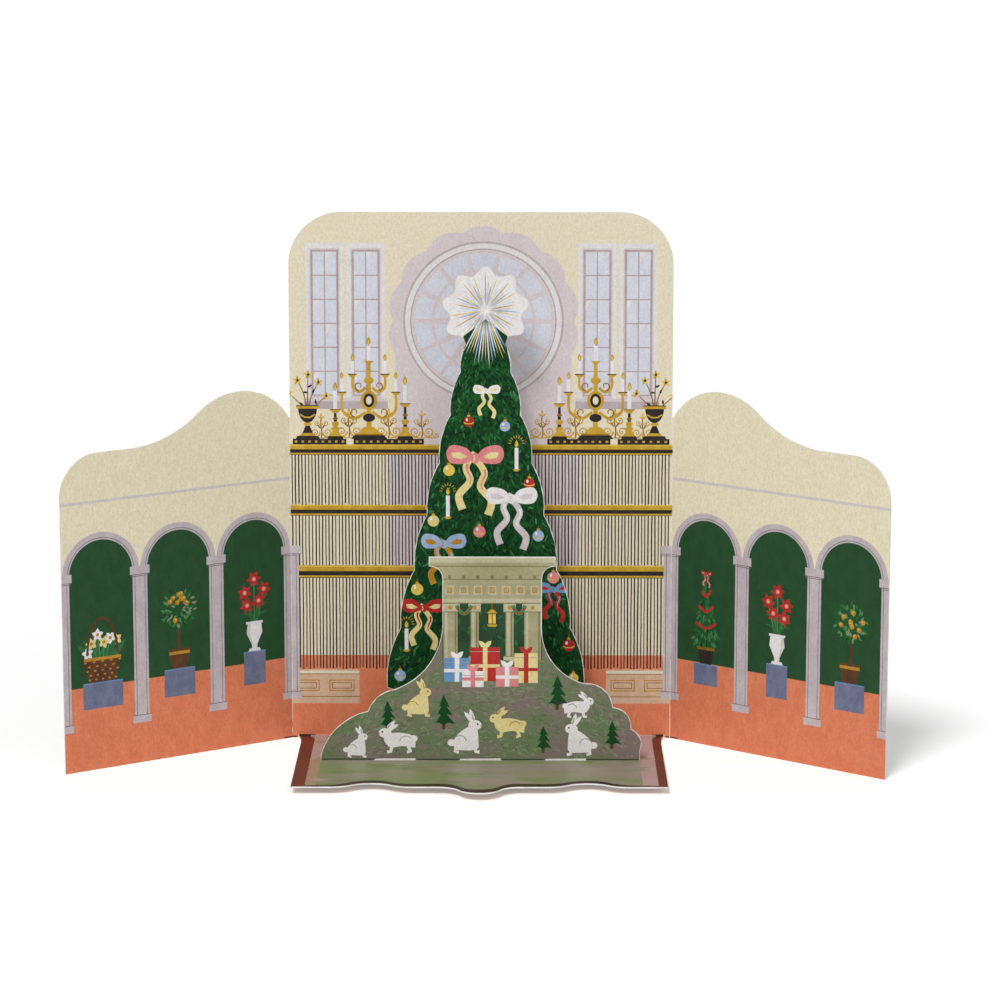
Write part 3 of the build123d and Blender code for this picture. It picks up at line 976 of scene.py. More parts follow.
def brush_needles(rng, field, wanted=3400):
    """Return brush marks that hang over the tree, paler towards its edges."""
    tones = ("tree_dark", "tree_dark", "tree_mid", "tree_mid", "tree_light", "tree_mid", "tree_pale")
    motif = []
    while len(motif) < wanted:
        y = rng.uniform(1.0, TREE_TOP[1])
        half = tree_half(y) + 2.0
        x = rng.uniform(-half, half)
        angle = -UP + 0.5 * x / half + rng.gauss(0, 0.55)
        mark = leaf(x, y, rng.uniform(1.4, 2.9), rng.uniform(0.4, 0.75), angle, rng.uniform(-0.25, 0.25))
        if all(holds(field, *p) for p in mark):
            paleness = int(rng.random() * (5.2 + 1.8 * (abs(x) / half)))
            motif.append((tones[min(6, paleness)], mark))
    return motif


def draw_tree(rng):
    """Return the print of the tree: brushed needles, bows, baubles and candles, and the star."""
    loop = tree_loop()
    field = inset(loop, BARE_EDGE, rng)
    motif = [("tree", field)] + brush_needles(rng, field)
    for x, y, radius, ink in (
        (-5.5, 113, 1.7, "red"), (6.4, 111.5, 1.7, "sky"), (-12.0, 97.0, 1.9, "gold_light"),
        (14.4, 92.5, 1.8, "red"), (-17.2, 80, 1.9, "straw"), (17.4, 75, 1.9, "sky"),
        (-2.0, 76.5, 2.0, "pink"), (22.4, 61, 2.0, "pink"), (-22.6, 57, 2.0, "gold_light"),
        (27.6, 38, 2.0, "red"), (-28.4, 27.5, 1.9, "sky"), (29.2, 26.5, 1.7, "gold_light"),
    ):
        motif += moved(bauble(ink, radius), x, y)
    for x, y in ((10.2, 94.0), (-12.4, 78.0), (-26.2, 33.0)):
        motif += moved(tree_candle(), x, y, 0.85)
    for x, y, scale, ink, lining in (
        (-3.4, 97.6, 0.95, "pink", "straw"), (8.6, 84.0, 0.85, "white", "lavender"),
        (-13.8, 68.8, 0.75, "sky", "ochre"), (-20.6, 47.0, 0.7, "red", "straw"),
        (0.4, 120.0, 0.45, "white", "straw"), (22.6, 53.4, 0.55, "blue", "red"),
    ):
        motif += moved(bow(ink, lining), x, y, scale)
    return motif + bare_rim(loop, field) + draw_star()


# Motifs of the hill


def rabbit(ink, line, sitting):
    """Return a rabbit that looks right, standing on the origin."""
    if sitting:
        x, y = 2.6, 7.6
        body = [(-3.6, 0.0), (3.0, 0.0), (3.6, 3.0), (3.2, 6.4), (1.2, 7.2), (-1.6, 5.6), (-3.6, 3.2)]
        tail, ears = 2.2, (UP + 0.25, UP + 0.7)
    else:
        x, y = 4.6, 5.4
        body = [(-4.8, 0.6), (-1.0, 1.2), (3.0, 0.8), (5.0, 3.4), (3.0, 5.2), (-1.0, 5.4), (-4.6, 4.0)]
        tail, ears = 3.6, (UP + 0.7, UP + 1.1)
    motif = [(ink, leaf(x - 0.4, y + 0.8, 4.4, 1.5, turn)) for turn in ears]
    motif += [
        (ink, curve(body + body[:1], 4)[:-1]),
        (ink, oval(x, y, 2.0, 1.6, 16)),
        (ink, oval(-4.4, tail, 1.2, 1.1, 12)),
    ]
    for foot, lean in ((2.4, 0.5), (-2.6, -0.7)):
        motif.append((ink, stroke([(foot, 1.4), (foot + lean, -0.6), (foot + lean + 1.1, -0.7)], 1.1)))
    return motif + [
        (line, stroke(oval(-1.9, 2.2, 2.0, 2.2, 8, 0.3, 2.4), 0.3)),
        (line, leaf(x - 0.3, y + 1.1, 2.8, 0.5, ears[0])),
        dot("brown", x + 0.8, y + 0.3, 0.32, 8),
        dot("pink", x + 1.9, y - 0.2, 0.25, 8),
    ]


def gift(width, height, ink, ribbon):
    """Return a wrapped box tied with ribbon, standing on the origin."""
    half = width / 2
    return [
        slab(ink, 0, half, 0, height),
        slab("grey", 0, half, height - 1.55, height - 1.35),
        slab(ribbon, 0, 0.75, 0, height),
        slab(ribbon, 0, half, 0.4 * height, 0.4 * height + 1.1),
        (ribbon, leaf(0, height, 3.0, 1.7, UP + 0.75)),
        (ribbon, leaf(0, height, 3.0, 1.7, UP - 0.75)),
        (ribbon, oval(0, height + 0.2, 0.8, 0.6, 10)),
    ]


def sapling(height):
    """Return a young fir, standing on the origin."""
    motif = [slab("brown", 0, 0.5, -0.6, 0.15 * height)]
    for low, reach in ((0.1, 0.34), (0.36, 0.27), (0.6, 0.19)):
        foot, tip = low * height, min(1.0, low + 0.42) * height
        wide = reach * height
        skirt = [(-wide, foot), (-0.45 * wide, foot + 0.5), (0, foot - 0.3)]
        skirt += [(0.45 * wide, foot + 0.5), (wide, foot), (0, tip)]
        motif.append(("tree", skirt))
        motif.append(("tree_pale", [(-wide, foot), (-0.72 * wide, foot + 0.2), (0, tip)]))
    return motif


def lantern():
    """Return a small lit lantern, hung from the origin."""
    return [
        ("gold_dark", stroke([(0, 0), (0, -2.2)], 0.35)),
        ("gold", taper(0, -3.4, 3.6, 1.2, 1.3)),
        slab("black", 0, 1.7, -7.4, -3.4),
        slab("gold_light", 0, 1.25, -7.0, -3.7),
        slab("black", 0, 0.15, -7.0, -3.7),
        ("gold", taper(0, -8.1, 2.6, 3.6, 0.8)),
    ]


def hill_loop():
    """Return the outline of hill and pavilion, anticlockwise from the foot's left end."""
    cornice = PAVILION_HEIGHT - CORNICE_THICKNESS
    cove_foot = cornice - CORNICE_COVE
    left_end, right_end = POST_LEFT - CORNICE_OVERHANG, POST_RIGHT + CORNICE_OVERHANG
    cove_right = tangent_arc((POST_RIGHT, cove_foot), (right_end, cornice), UP, 6)[0]
    cove_left = tangent_arc((POST_LEFT, cove_foot), (left_end, cornice), UP, 6)[0]
    left_sweep = tangent_arc((POST_LEFT, LEFT_SWEEP), LEFT_EDGE[-1], -UP)[0]
    right_sweep = tangent_arc((POST_RIGHT, RIGHT_SWEEP), RIGHT_EDGE[0], -UP)[0]
    loop = [(-HILL_HALF, 0.0), (HILL_HALF, 0.0)]
    loop += scallops(RIGHT_EDGE, RIGHT_MOUND_DEPTH)[:0:-1] + right_sweep[::-1]
    loop += [(POST_RIGHT, RIGHT_SWEEP), (POST_RIGHT, cove_foot)] + cove_right
    loop += [(right_end, PAVILION_HEIGHT), (left_end, PAVILION_HEIGHT)] + cove_left[::-1]
    loop += [(POST_LEFT, cove_foot), (POST_LEFT, LEFT_SWEEP)] + left_sweep
    return loop + scallops(LEFT_EDGE, LEFT_MOUND_DEPTH)[-2::-1]


def post(x, foot, head, width):
    """Return a square stone post with a base and a cap."""
    half = width / 2
    return [
        slab("stone", x, half, foot, head),
        ("stone_light", box(x - half + 0.5, foot, x - half + 1.3, head)),
        ("stone_dark", box(x + half - 0.9, foot, x + half - 0.4, head)),
        slab("stone_light", x, half + 0.7, foot, foot + 1.8),
        slab("stone_dark", x, half + 0.7, foot + 1.8, foot + 2.1),
        slab("stone_light", x, half + 0.7, head - 2.6, head),
        slab("stone_dark", x, half + 0.7, head - 2.9, head - 2.6),
        dot("ochre", x, head - 1.3, 0.7, 12),
    ]


def draw_pavilion(rng):
    """Return the print of the pavilion: stone posts and lintel before a dark green hedge."""

    def course(ink, overhang, low, high):
        return (ink, box(POST_LEFT - overhang, low, POST_RIGHT + overhang, high))

    hedge_foot, hedge_leaves = 31.0, 150
    lintel, cornice = 52.6, PAVILION_HEIGHT - CORNICE_THICKNESS
    motif = [course("shade_green", 0, hedge_foot, lintel)]
    for _ in range(hedge_leaves):
        x, y = rng.uniform(POST_LEFT + 1, POST_RIGHT - 1), rng.uniform(33, 51)
        ink = rng.choice(("tree_mid", "tree", "shade_green", "tree_light"))
        motif.append((ink, leaf(x, y, rng.uniform(1.4, 2.6), 0.6, rng.uniform(-2.6, -0.5))))
    ends, cornice_ends = 5, CORNICE_OVERHANG + 1
    motif += [
        course("stone", ends, lintel, cornice),
        course("stone_dark", ends, lintel, lintel + 0.35),
        course("stone_light", ends, lintel + 0.35, lintel + 1.7),
        course("stone_dark", ends, cornice - 4.4, cornice - 4.1),
        course("stone_light", cornice_ends, cornice, PAVILION_HEIGHT),
        course("stone_dark", cornice_ends, cornice - 0.15, cornice + 0.2),
        course("stone", cornice_ends, cornice + 0.2, cornice + 1.3),
    ]
    blocks = 7
    for i in range(blocks):
        x = POST_LEFT + (i + 0.5) * (POST_RIGHT - POST_LEFT) / blocks
        motif += [
            slab("stone_light", x, 1.4, lintel + 3.0, lintel + 6.0),
            slab("ochre", x, 0.9, lintel + 3.5, lintel + 5.5),
            slab("stone", x, 0.55, lintel + 3.85, lintel + 5.15),
            slab("stone_dark", x, 0.5, cornice - 4.1, cornice - 3.0),
        ]
    for x, foot, width in (
        (POST_LEFT + 2.6, 31.5, 4.6), (POST_RIGHT - 3.0, 31.5, 5.4), (-1.8, 33.0, 2.6), (9.6, 33.0, 2.6)
    ):
        motif += post(x, foot, lintel, width)
    motif += moved(lantern(), PAVILION_MIDDLE, lintel, 0.95)
    sag, steps = 11, 8
    for x0, x1 in ((POST_LEFT + 4.6, -2.8), (10.6, POST_RIGHT - 5.4)):
        parts = [step / steps for step in range(steps + 1)]
        swag = [(x0 + (x1 - x0) * part, lintel - 0.6 - sag * part * (1 - part)) for part in parts]
        motif.append(("tree_pale", stroke(swag, 1.3)))
        motif += [dot("red", x, y, 0.45, 8) for x, y in swag[1::2]]
    return motif


def brush_moss(rng, field, wanted=1500):
    """Return brush marks along the hill's slopes, in drifts of green and mauve."""
    greens = ("moss_light", "moss_dark", "moss_light", "moss")
    mauves = ("moss_mauve", "moss_mauve", "moss", "moss_dark")
    lawn_top, pavilion_half, steepest, slope_end = 32.5, 19, 0.55, 40
    motif = []
    while len(motif) < wanted:
        x, y = rng.uniform(-51, 51), rng.uniform(0.8, 40.0)
        slope = steepest if x < 0 else -steepest
        angle = slope * min(1.0, abs(x) / slope_end) + rng.gauss(0, 0.45)
        mark = leaf(x, y, rng.uniform(1.2, 3.4), rng.uniform(0.35, 0.8), angle, rng.uniform(-0.2, 0.2))
        clear = all(q < lawn_top for _, q in mark) or abs(x - PAVILION_MIDDLE) > pavilion_half
        if clear and all(holds(field, *p) for p in mark):
            drift = math.sin(0.16 * x + 1.3) + math.sin(0.3 * y + 0.07 * x)
            motif.append((rng.choice(greens if drift + rng.gauss(0, 0.6) > 0 else mauves), mark))
    return motif


def draw_hill(rng):
    """Return the print of the hill: brushed moss, the pavilion, gifts, rabbits and young firs, and a painted
    shadow along its foot.
    """
    loop = hill_loop()
    field = inset(loop, BARE_EDGE, rng)
    below, half = -0.05, HILL_HALF - BARE_EDGE
    motif = [("moss", field), slab("moss", 0, half, below, 1.0)] + draw_pavilion(rng)
    crest = [(-16.5, 27.0), (-12.5, 33.2), (-4.0, 33.0), (4.0, 34.0)]
    crest += [(13.0, 33.2), (20.0, 33.4), (25.0, 26.0)]
    motif.append(("moss", [(-16.5, 20.0), (25.0, 20.0)] + curve(crest, 5)[::-1]))
    motif += brush_moss(rng, field)
    for x, y, width, height, ink, ribbon in (
        (-7.6, 26.4, 8.4, 8.0, "blue", "white"), (15.0, 26.0, 7.6, 10.0, "straw", "red"),
        (1.6, 26.6, 9.6, 11.4, "red", "straw"), (-2.4, 24.6, 7.0, 5.4, "white", "pink"),
        (8.8, 24.8, 7.4, 6.6, "pink", "white"),
    ):
        motif += moved(gift(width, height, ink, ribbon), x, y)
    for x, y, height in (
        (-30.4, 10.4, 9.6), (-12.0, 11.0, 11.0), (25.2, 17.6, 11.0), (43.2, 4.4, 9.0), (20.6, 3.0, 8.6)
    ):
        motif += moved(sapling(height), x, y)
    for x, y, scale, flip, ink, line, sitting in (
        (-40.6, 1.6, 0.8, 1, "white", "grey", True), (-26.4, 3.4, 1.05, -1, "white", "grey", False),
        (-20.4, 15.6, 0.95, 1, "straw", "ochre", True), (-4.6, 3.4, 1.1, 1, "white", "grey", True),
        (9.6, 8.6, 1.0, -1, "straw", "ochre", False), (32.6, 2.6, 1.05, -1, "white", "grey", True),
        (31.6, 15.2, 0.85, 1, "white", "grey", False),
    ):
        motif += moved(rabbit(ink, line, sitting), x, y, scale, flip)
    motif += [(ink, quad) for ink, quad in bare_rim(loop, field) if max(y for _, y in quad[:2]) > 0.1]
    # A dark green line along the hill's foot: painted shadow of the gap between the hill and the floor.
    motif.append(slab("shade_green", 0, half, below, 0.34))
    left, right = 0.3 - TAB_WIDTH / 2, TAB_WIDTH / 2 - 0.3
    for x in HILL_TABS:
        top = [(right, 0.5), (2.0, 0.4), (-3.0, 0.42), (left, 0.3)]
        motif += moved([("paper", [(left, below), (right, below)] + top)], x, 0.0)
    return motif


# Cutting, folding and inking a sheet


def triangulate(sheets, holes, creases, shapes):
    """Cut flat sheets into triangles along all lines. Return points, triangles and topmost shapes."""
    corners, faces, edges = [], [], []
    for loop in sheets + holes + shapes:
        if signed_area(loop) < 0:
            loop = loop[::-1]
        faces.append(list(range(len(corners), len(corners) + len(loop))))
        corners += [Vector(p) for p in loop]
    for crease in creases:
        edges.append((len(corners), len(corners) + 1))
        corners += [Vector(p) for p in crease]
    inside_only, nearness = 1, 2e-4
    points, _, cells, _, _, owners = delaunay_2d_cdt(corners, edges, faces, inside_only, nearness)
    first_hole, first_shape = len(sheets), len(sheets) + len(holes)
    triangles, tops = [], []
    for cell, owner in zip(cells, owners):
        if not any(i < first_hole for i in owner):
            continue
        if any(first_hole <= i < first_shape for i in owner):
            continue
        triangles.append(tuple(cell))
        tops.append(max(owner) - first_shape)
    used = sorted({i for t in triangles for i in t})
    number = {old: new for new, old in enumerate(used)}
    return [tuple(points[i]) for i in used], [tuple(number[i] for i in t) for t in triangles], tops


def rim_of(triangles):
    """Return the edges that only one triangle has, in its direction."""
    directed = {edge for t in triangles for edge in sides_of(t)}
    return [(a, b) for a, b in directed if (b, a) not in directed]


def loops_of(rim):
    """Return rim edges chained into closed loops of point numbers."""
    after = dict(sorted(rim))
    loops = []
    while after:
        start = min(after)
        loop, here = [start], after.pop(start)
        while here != start:
            loop.append(here)
            here = after.pop(here)
        loops.append(loop)
    return loops


def middles_of(points, triangles):
    """Return the middle of each triangle."""
    return [tuple(sum(points[i][k] for i in t) / 3 for k in (0, 1)) for t in triangles]


def texture_map(front, back, walls, spots):
    """Return each face corner's place on a sheet's texture map, from 0 to 1.

    front and back hold the corners of the triangles on either side, walls the length of each cut side.
    The front lies as it is printed, the back beside it, scaled and mirrored, and the cut edges in rows.
    """
    row_height, quad_height = 2.2, 1.4
    back_x, back_y = spots["back"]
    scale = spots["back_scale"]
    flat = list(front) + [(back_x - scale * x, back_y + scale * y) for x, y in back]
    run, row = 0.0, 0
    for length in walls:
        if run + length > spots["row_length"]:
            run, row = 0.0, row + 1
        x, y = spots["edges"][0] + run, spots["edges"][1] + row * row_height
        flat += [(x + length, y + quad_height), (x, y + quad_height), (x, y), (x + length, y)]
        run += length
    return [(p[k] - spots["origin"][k]) / spots["side"] for p in flat for k in (0, 1)]


def add_object(name, data):
    """Put a new object into the scene and return it."""
    made = bpy.data.objects.new(name, data)
    bpy.context.scene.collection.objects.link(made)
    return made


def make_sheet(name, sheets, holes, creases, motif, place, thickness, finish, spots, materials):
    """Build one printed sheet as a closed mesh.

    place(x, y, depth) gives where a flat point stands. finish(x, y) gives the number of the printed
    face's material, which the back's follows, and how worn the print is in a fold, from 0 to 1. spots says
    where the sheet's sides lie on its texture map, in millimetres.
    """
    points, triangles, tops = triangulate(sheets, holes, creases, [loop for _, loop in motif])
    loops = loops_of(rim_of(triangles))
    outer, inner = [], []
    for loop in loops:
        ring = [points[i] for i in loop]
        (outer if signed_area(ring) > 0 else inner).append(ring)
    back_points, back_triangles, _ = triangulate(outer, inner, creases, [])

    def key(point):
        return (round(point[0], 3), round(point[1], 3))

    back_number = {key(p): len(points) + i for i, p in enumerate(back_points)}
    back_faces = [t[::-1] for t in back_triangles]
    walls = [side for loop in loops for side in sides_of(loop)]
    verts = [place(x, y, 0.0) for x, y in points] + [place(x, y, thickness) for x, y in back_points]
    faces = triangles + [tuple(len(points) + i for i in t) for t in back_faces]
    faces += [(b, a, back_number[key(points[a])], back_number[key(points[b])]) for a, b in walls]
    mesh = bpy.data.meshes.new(name)
    mesh.from_pydata([Vector(v) * MM for v in verts], [], faces)

    finishes = [finish(x, y) for x, y in middles_of(points, triangles)]
    numbers = [number for number, _ in finishes]
    numbers += [finish(x, y)[0] + 1 for x, y in middles_of(back_points, back_triangles)]
    numbers += [EDGE_MATERIAL] * len(walls)
    mesh.polygons.foreach_set("material_index", numbers)
    for material in materials:
        mesh.materials.append(material)

    unprinted = len(faces) - len(triangles)
    inks = [motif[top][0] if top >= 0 else "paper" for top in tops] + ["paper"] * unprinted
    for layer, tone in (("ink", 0), ("wash", 1)):
        attribute = mesh.attributes.new(layer, "FLOAT_COLOR", "FACE")
        attribute.data.foreach_set("color", [c for ink in inks for c in TONES[ink][tone]])
    crack = mesh.attributes.new("crack", "FLOAT", "FACE")
    crack.data.foreach_set("value", [worn for _, worn in finishes] + [0.0] * unprinted)

    front = [points[i] for t in triangles for i in t]
    back = [back_points[i] for t in back_faces for i in t]
    lengths = [math.dist(points[a], points[b]) for a, b in walls]
    uv = mesh.uv_layers.new(name="OFBake")
    uv.data.foreach_set("uv", texture_map(front, back, lengths, spots))
    mesh.update()
    return add_object(name, mesh)


def card_place(x, y, depth):
    """Return where a point of the flat main sheet stands, depth behind its printed face."""
    radius = FOLD_RADIUS + depth
    if y < FOLD_LINE and abs(x) < FLOOR_ENDS:
        run = FOLD_LINE - y
        angle = min(run / FOLD_RADIUS, FLOOR_BEND)
        past = max(0.0, run - FLOOR_BEND_LENGTH)
        forward = PANEL_Y - FOLD_RADIUS + radius * math.cos(angle) - past * math.sin(angle)
        return (PANEL_X + x, forward, FOLD_LINE - radius * math.sin(angle) - past * math.cos(angle))
    if abs(x) <= HALF_PANEL:
        return (PANEL_X + x, PANEL_Y + depth, y)
    side, turn = (1, RIGHT_FOLD) if x > 0 else (-1, LEFT_FOLD)
    run = abs(x) - HALF_PANEL
    angle = min(run / FOLD_RADIUS, turn)
    past = max(0.0, run - FOLD_RADIUS * turn)
    out = HALF_PANEL + radius * math.sin(angle) + past * math.cos(angle)
    forward = PANEL_Y - FOLD_RADIUS + radius * math.cos(angle) - past * math.sin(angle)
    return (PANEL_X + side * out, forward, y)


def layer_place(offset, distance):
    """Return how a layer stands: the function that places its points, its tabs' length and bend lines.

    The tabs go down through the floor and bend back under it.
    """
    bottom = layer_bottom(distance)
    radius = SLIT_CLEARANCE + LAYER / 2
    swing = math.pi / 2 - FLOOR_RISE
    middle = distance - LAYER / 2
    bend_start = floor_underside(middle) - LAYER / 2 / math.cos(FLOOR_RISE) + radius * math.tan(swing / 2)
    drop = bottom - bend_start

    def place(x, y, depth):
        if y >= -drop:
            return (PANEL_X + offset + x, PANEL_Y - distance + depth, bottom + y)
        run = -y - drop
        angle = min(run / radius, swing)
        past = max(0.0, run - radius * swing)
        reach = radius + LAYER / 2 - depth
        back = PANEL_Y - middle + radius - reach * math.cos(angle) + past * math.sin(angle)
        return (PANEL_X + offset + x, back, bend_start - reach * math.sin(angle) - past * math.cos(angle))

    bends = 5
    length = drop + radius * swing + TAB_LENGTH - radius * math.tan(swing / 2)
    lines = [-drop - radius * swing * i / bends for i in range(bends + 1)]
    return place, length, lines


def card_outline():
    """Return the flat main sheet's outline, anticlockwise from the middle of its front edge."""
    halves = []
    for turn in (RIGHT_FOLD, LEFT_FOLD):
        start = HALF_PANEL + FOLD_RADIUS * turn
        corner = start + WING_WIDTH
        corner_end = corner - WING_CORNER
        crown = (start + WING_CROWN[0], WING_CROWN[1])
        half = flat_floor(floor_edge())
        half += [
            (HALF_FLOOR_FOLD, FOLD_LINE),
            (HALF_FLOOR_FOLD + FLOOR_CUT, FOLD_LINE),
            (HALF_FLOOR_FOLD + FLOOR_CUT, 0.0),
            (corner, 0.0),
            (corner, WING_SHOULDER_HEIGHT - WING_CORNER),
        ]
        half += tangent_arc(half[-1], (corner_end, WING_SHOULDER_HEIGHT), UP)[0]
        half.append((corner_end - WING_SHOULDER_LENGTH, WING_SHOULDER_HEIGHT))
        half += ogee(half[-1], crown, 1 - WING_OGEE_SHARE, math.pi)
        half += tangent_arc(crown, (start, WING_FOLD_HEIGHT), math.pi)[0]
        half += [(HALF_PANEL, WING_FOLD_HEIGHT), (HALF_PANEL, PANEL_HEIGHT - PANEL_CORNER)]
        half += tangent_arc(half[-1], (HALF_PANEL - PANEL_CORNER, PANEL_HEIGHT), UP)[0]
        halves.append(half)
    right, left = halves
    return right + flipped(left[:0:-1])


def slit_loops():
    """Return the slits in the floor flap that the tabs go through."""
    half_wide = TAB_WIDTH / 2 + SLIT_CLEARANCE
    half_deep = LAYER / 2 + SLIT_CLEARANCE
    slit = box(-half_wide, -half_deep, half_wide, half_deep)
    loops = []
    for distance, offset, tabs in ((TREE_DISTANCE, TREE_OFFSET, TREE_TABS), (HILL_DISTANCE, 0.0, HILL_TABS)):
        y = -(distance - LAYER / 2 - FOLD_REACH) / math.cos(FLOOR_RISE)
        for x in tabs:
            loops.append(flat_floor([(x + offset + p, y + q) for p, q in slit]))
    return loops


def card_creases():
    """Return the lines on the flat main sheet along which it bends."""
    bends = 6
    creases = []
    for i in range(bends + 1):
        part = i / bends
        for side, turn in ((-1, LEFT_FOLD), (1, RIGHT_FOLD)):
            x = side * (HALF_PANEL + FOLD_RADIUS * turn * part)
            creases.append(((x, 0.0), (x, WING_FOLD_HEIGHT)))
        y = FOLD_LINE - FLOOR_BEND_LENGTH * part
        creases.append(((-HALF_FLOOR_FOLD, y), (HALF_FLOOR_FOLD, y)))
    return creases


def card_finish(x, y):
    """Return which print material the main sheet has at a point, and how worn its ink is in a fold."""
    spread = 0.06
    on_floor = y < FOLD_LINE - FLOOR_BEND_LENGTH and abs(x) < FLOOR_ENDS
    turn = RIGHT_FOLD if x > 0 else LEFT_FOLD
    in_wing_fold = -spread < abs(x) - HALF_PANEL < FOLD_RADIUS * turn + spread
    cracked = in_wing_fold and y < WING_FOLD_HEIGHT
    wear = 1.0 if y < WING_GROUND else 0.7
    return FLOOR_MATERIAL if on_floor else 0, wear if cracked else 0.0


# Materials


def new_material(name):
    """Return a new material with its node tree and its surface shader."""
    material = bpy.data.materials.new(name)
    material.use_nodes = True
    tree = material.node_tree
    return material, tree, tree.nodes["Principled BSDF"]


def node(tree, kind, **values):
    """Add a node and set its properties, or its inputs where a name is one of those."""
    made = tree.nodes.new(kind)
    for name, value in values.items():
        if name in made.inputs:
            made.inputs[name].default_value = value
        else:
            setattr(made, name, value)
    return made


def noise(tree, coordinates, scale, detail, stretch=(1.0, 1.0, 1.0)):
    """Add a noise pattern over stretched coordinates and return its value socket."""
    mapping = node(tree, "ShaderNodeMapping", Scale=stretch)
    tree.links.new(coordinates, mapping.inputs["Vector"])
    pattern = node(tree, "ShaderNodeTexNoise", Scale=scale, Detail=detail)
    tree.links.new(mapping.outputs["Vector"], pattern.inputs["Vector"])
    return pattern.outputs["Fac"]


def ranged(tree, value, low, high, to_low, to_high):
    """Map a value from one range to another and return the new socket."""
    made = node(tree, "ShaderNodeMapRange", interpolation_type="SMOOTHSTEP")
    for name, number in zip(("From Min", "From Max", "To Min", "To Max"), (low, high, to_low, to_high)):
        made.inputs[name].default_value = number
    tree.links.new(value, made.inputs["Value"])
    return made.outputs["Result"]


def mixed(tree, factor, first, second, kind="MIX"):
    """Mix two colours by a factor socket or number and return the new socket."""
    made = node(tree, "ShaderNodeMix", data_type="RGBA", blend_type=kind)
    for socket, value in ((made.inputs[0], factor), (made.inputs[6], first), (made.inputs[7], second)):
        if isinstance(value, bpy.types.NodeSocket):
            tree.links.new(value, socket)
        else:
            socket.default_value = value
    return made.outputs[2]


def bump(tree, shader, height, strength, distance):
    """Give a shader a bump from a height socket."""
    made = node(tree, "ShaderNodeBump", Strength=strength, Distance=distance)
    tree.links.new(height, made.inputs["Height"])
    tree.links.new(made.outputs["Normal"], shader.inputs["Normal"])


def roughen(tree, shader, pattern, roughness):
    """Let a shader's roughness vary a little with a pattern."""
    varied = ranged(tree, pattern, 0.2, 0.8, roughness - 0.06, roughness + 0.06)
    tree.links.new(varied, shader.inputs["Roughness"])


def print_material(name, wash_scale, wash_stretch, roughness=0.58, specular=0.18):
    """Return ink on card: two brushed tones of each ink, paper tooth, and cracks along folds."""
    material, tree, shader = new_material(name)
    where = node(tree, "ShaderNodeTexCoord").outputs["Object"]
    ink, wash, crack = (
        node(tree, "ShaderNodeAttribute", attribute_name=layer) for layer in ("ink", "wash", "crack")
    )
    brushed = ranged(tree, noise(tree, where, wash_scale, 4.0, wash_stretch), 0.36, 0.66, 0.0, 1.0)
    colour = mixed(tree, brushed, ink.outputs["Color"], wash.outputs["Color"])
    tooth = noise(tree, where, TOOTH_SCALE, 2.0)
    fibre = noise(tree, where, FIBRE_SCALE, 3.0, (1.0, 1.0, 0.6))
    shade = ranged(tree, tooth, 0.25, 0.75, 0.92, 1.07)
    colour = mixed(tree, 1.0, colour, shade, "MULTIPLY")
    streak = ranged(tree, fibre, 0.3, 0.7, 0.95, 1.05)
    colour = mixed(tree, 1.0, colour, streak, "MULTIPLY")
    flakes = noise(tree, where, CRACK_SCALE, 3.0, (1.0, 1.0, 0.4))
    broken = ranged(tree, flakes, 0.37, 0.46, 0.0, 0.85)
    worn = node(tree, "ShaderNodeMath", operation="MULTIPLY")
    tree.links.new(crack.outputs["Fac"], worn.inputs[0])
    tree.links.new(broken, worn.inputs[1])
    colour = mixed(tree, worn.outputs["Value"], colour, TONES["paper"][0])
    tree.links.new(colour, shader.inputs["Base Color"])
    roughen(tree, shader, tooth, roughness)
    shader.inputs["Specular IOR Level"].default_value = specular
    bump(tree, shader, fibre, strength=0.18, distance=0.06 * MM)
    return material


def card_material(name, main, second, roughness):
    """Return bare uncoated card: faint fibres and clouding."""
    material, tree, shader = new_material(name)
    where = node(tree, "ShaderNodeTexCoord").outputs["Object"]
    cloud = ranged(tree, noise(tree, where, CLOUD_SCALE, 3.0), 0.35, 0.65, 0.0, 1.0)
    colour = mixed(tree, cloud, linear(main), linear(second))
    fibre = noise(tree, where, BARE_FIBRE_SCALE, 3.0, (1.0, 1.0, 0.3))
    colour = mixed(tree, 1.0, colour, ranged(tree, fibre, 0.25, 0.75, 0.95, 1.03), "MULTIPLY")
    tree.links.new(colour, shader.inputs["Base Color"])
    roughen(tree, shader, fibre, roughness)
    shader.inputs["Specular IOR Level"].default_value = 0.3
    bump(tree, shader, fibre, strength=0.25, distance=0.08 * MM)
    return material


# Pieces

plain_card = card_material("plain_card", "e9e6e1", "e7e4de", 0.72)
# The floor flap's back is tan so that it browns and darkens the shadow under the flap's front edge: painted
# shade.
tan_shade_card = card_material("tan_shade_card", "d0a67d", "c69b72", 0.8)
cut_edge = card_material("cut_edge", "efece7", "ddd7ce", 0.85)
sheet_print = print_material("sheet_print", 300.0, (1.0, 1.0, 0.6))
floor_print = print_material("floor_print", 60.0, (0.5, 1.3, 1.0), roughness=0.42, specular=0.24)
tree_print = print_material("tree_print", 420.0, (1.0, 1.0, 0.7), specular=0.1)
hill_print = print_material("hill_print", 110.0, (0.6, 1.0, 1.2))

# Texture maps in millimetres: their side and lower left corner, the origin and scale of the back, and the
# place of the first row of cut edges and the rows' length
CARD_SPOTS = {
    "side": 302.0, "origin": (-151.0, -122.0), "back": (106.5, -52.0), "back_scale": 0.28,
    "edges": (-149.0, -120.0), "row_length": 280.0,
}
TREE_SPOTS = {
    "side": 172.0, "origin": (-33.0, -10.0), "back": (66.5, 0.0), "back_scale": 1.0,
    "edges": (101.0, -8.0), "row_length": 36.0,
}
HILL_SPOTS = {
    "side": 160.0, "origin": (-54.0, -90.0), "back": (0.0, -80.0), "back_scale": 1.0,
    "edges": (55.0, -88.0), "row_length": 48.0,
}

SEED = 12
rng = random.Random(SEED)


def dress(piece, solid):
    """Let a piece stand for a solid, which is hidden, and ride on the card."""
    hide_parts(solid)
    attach(piece, "root")


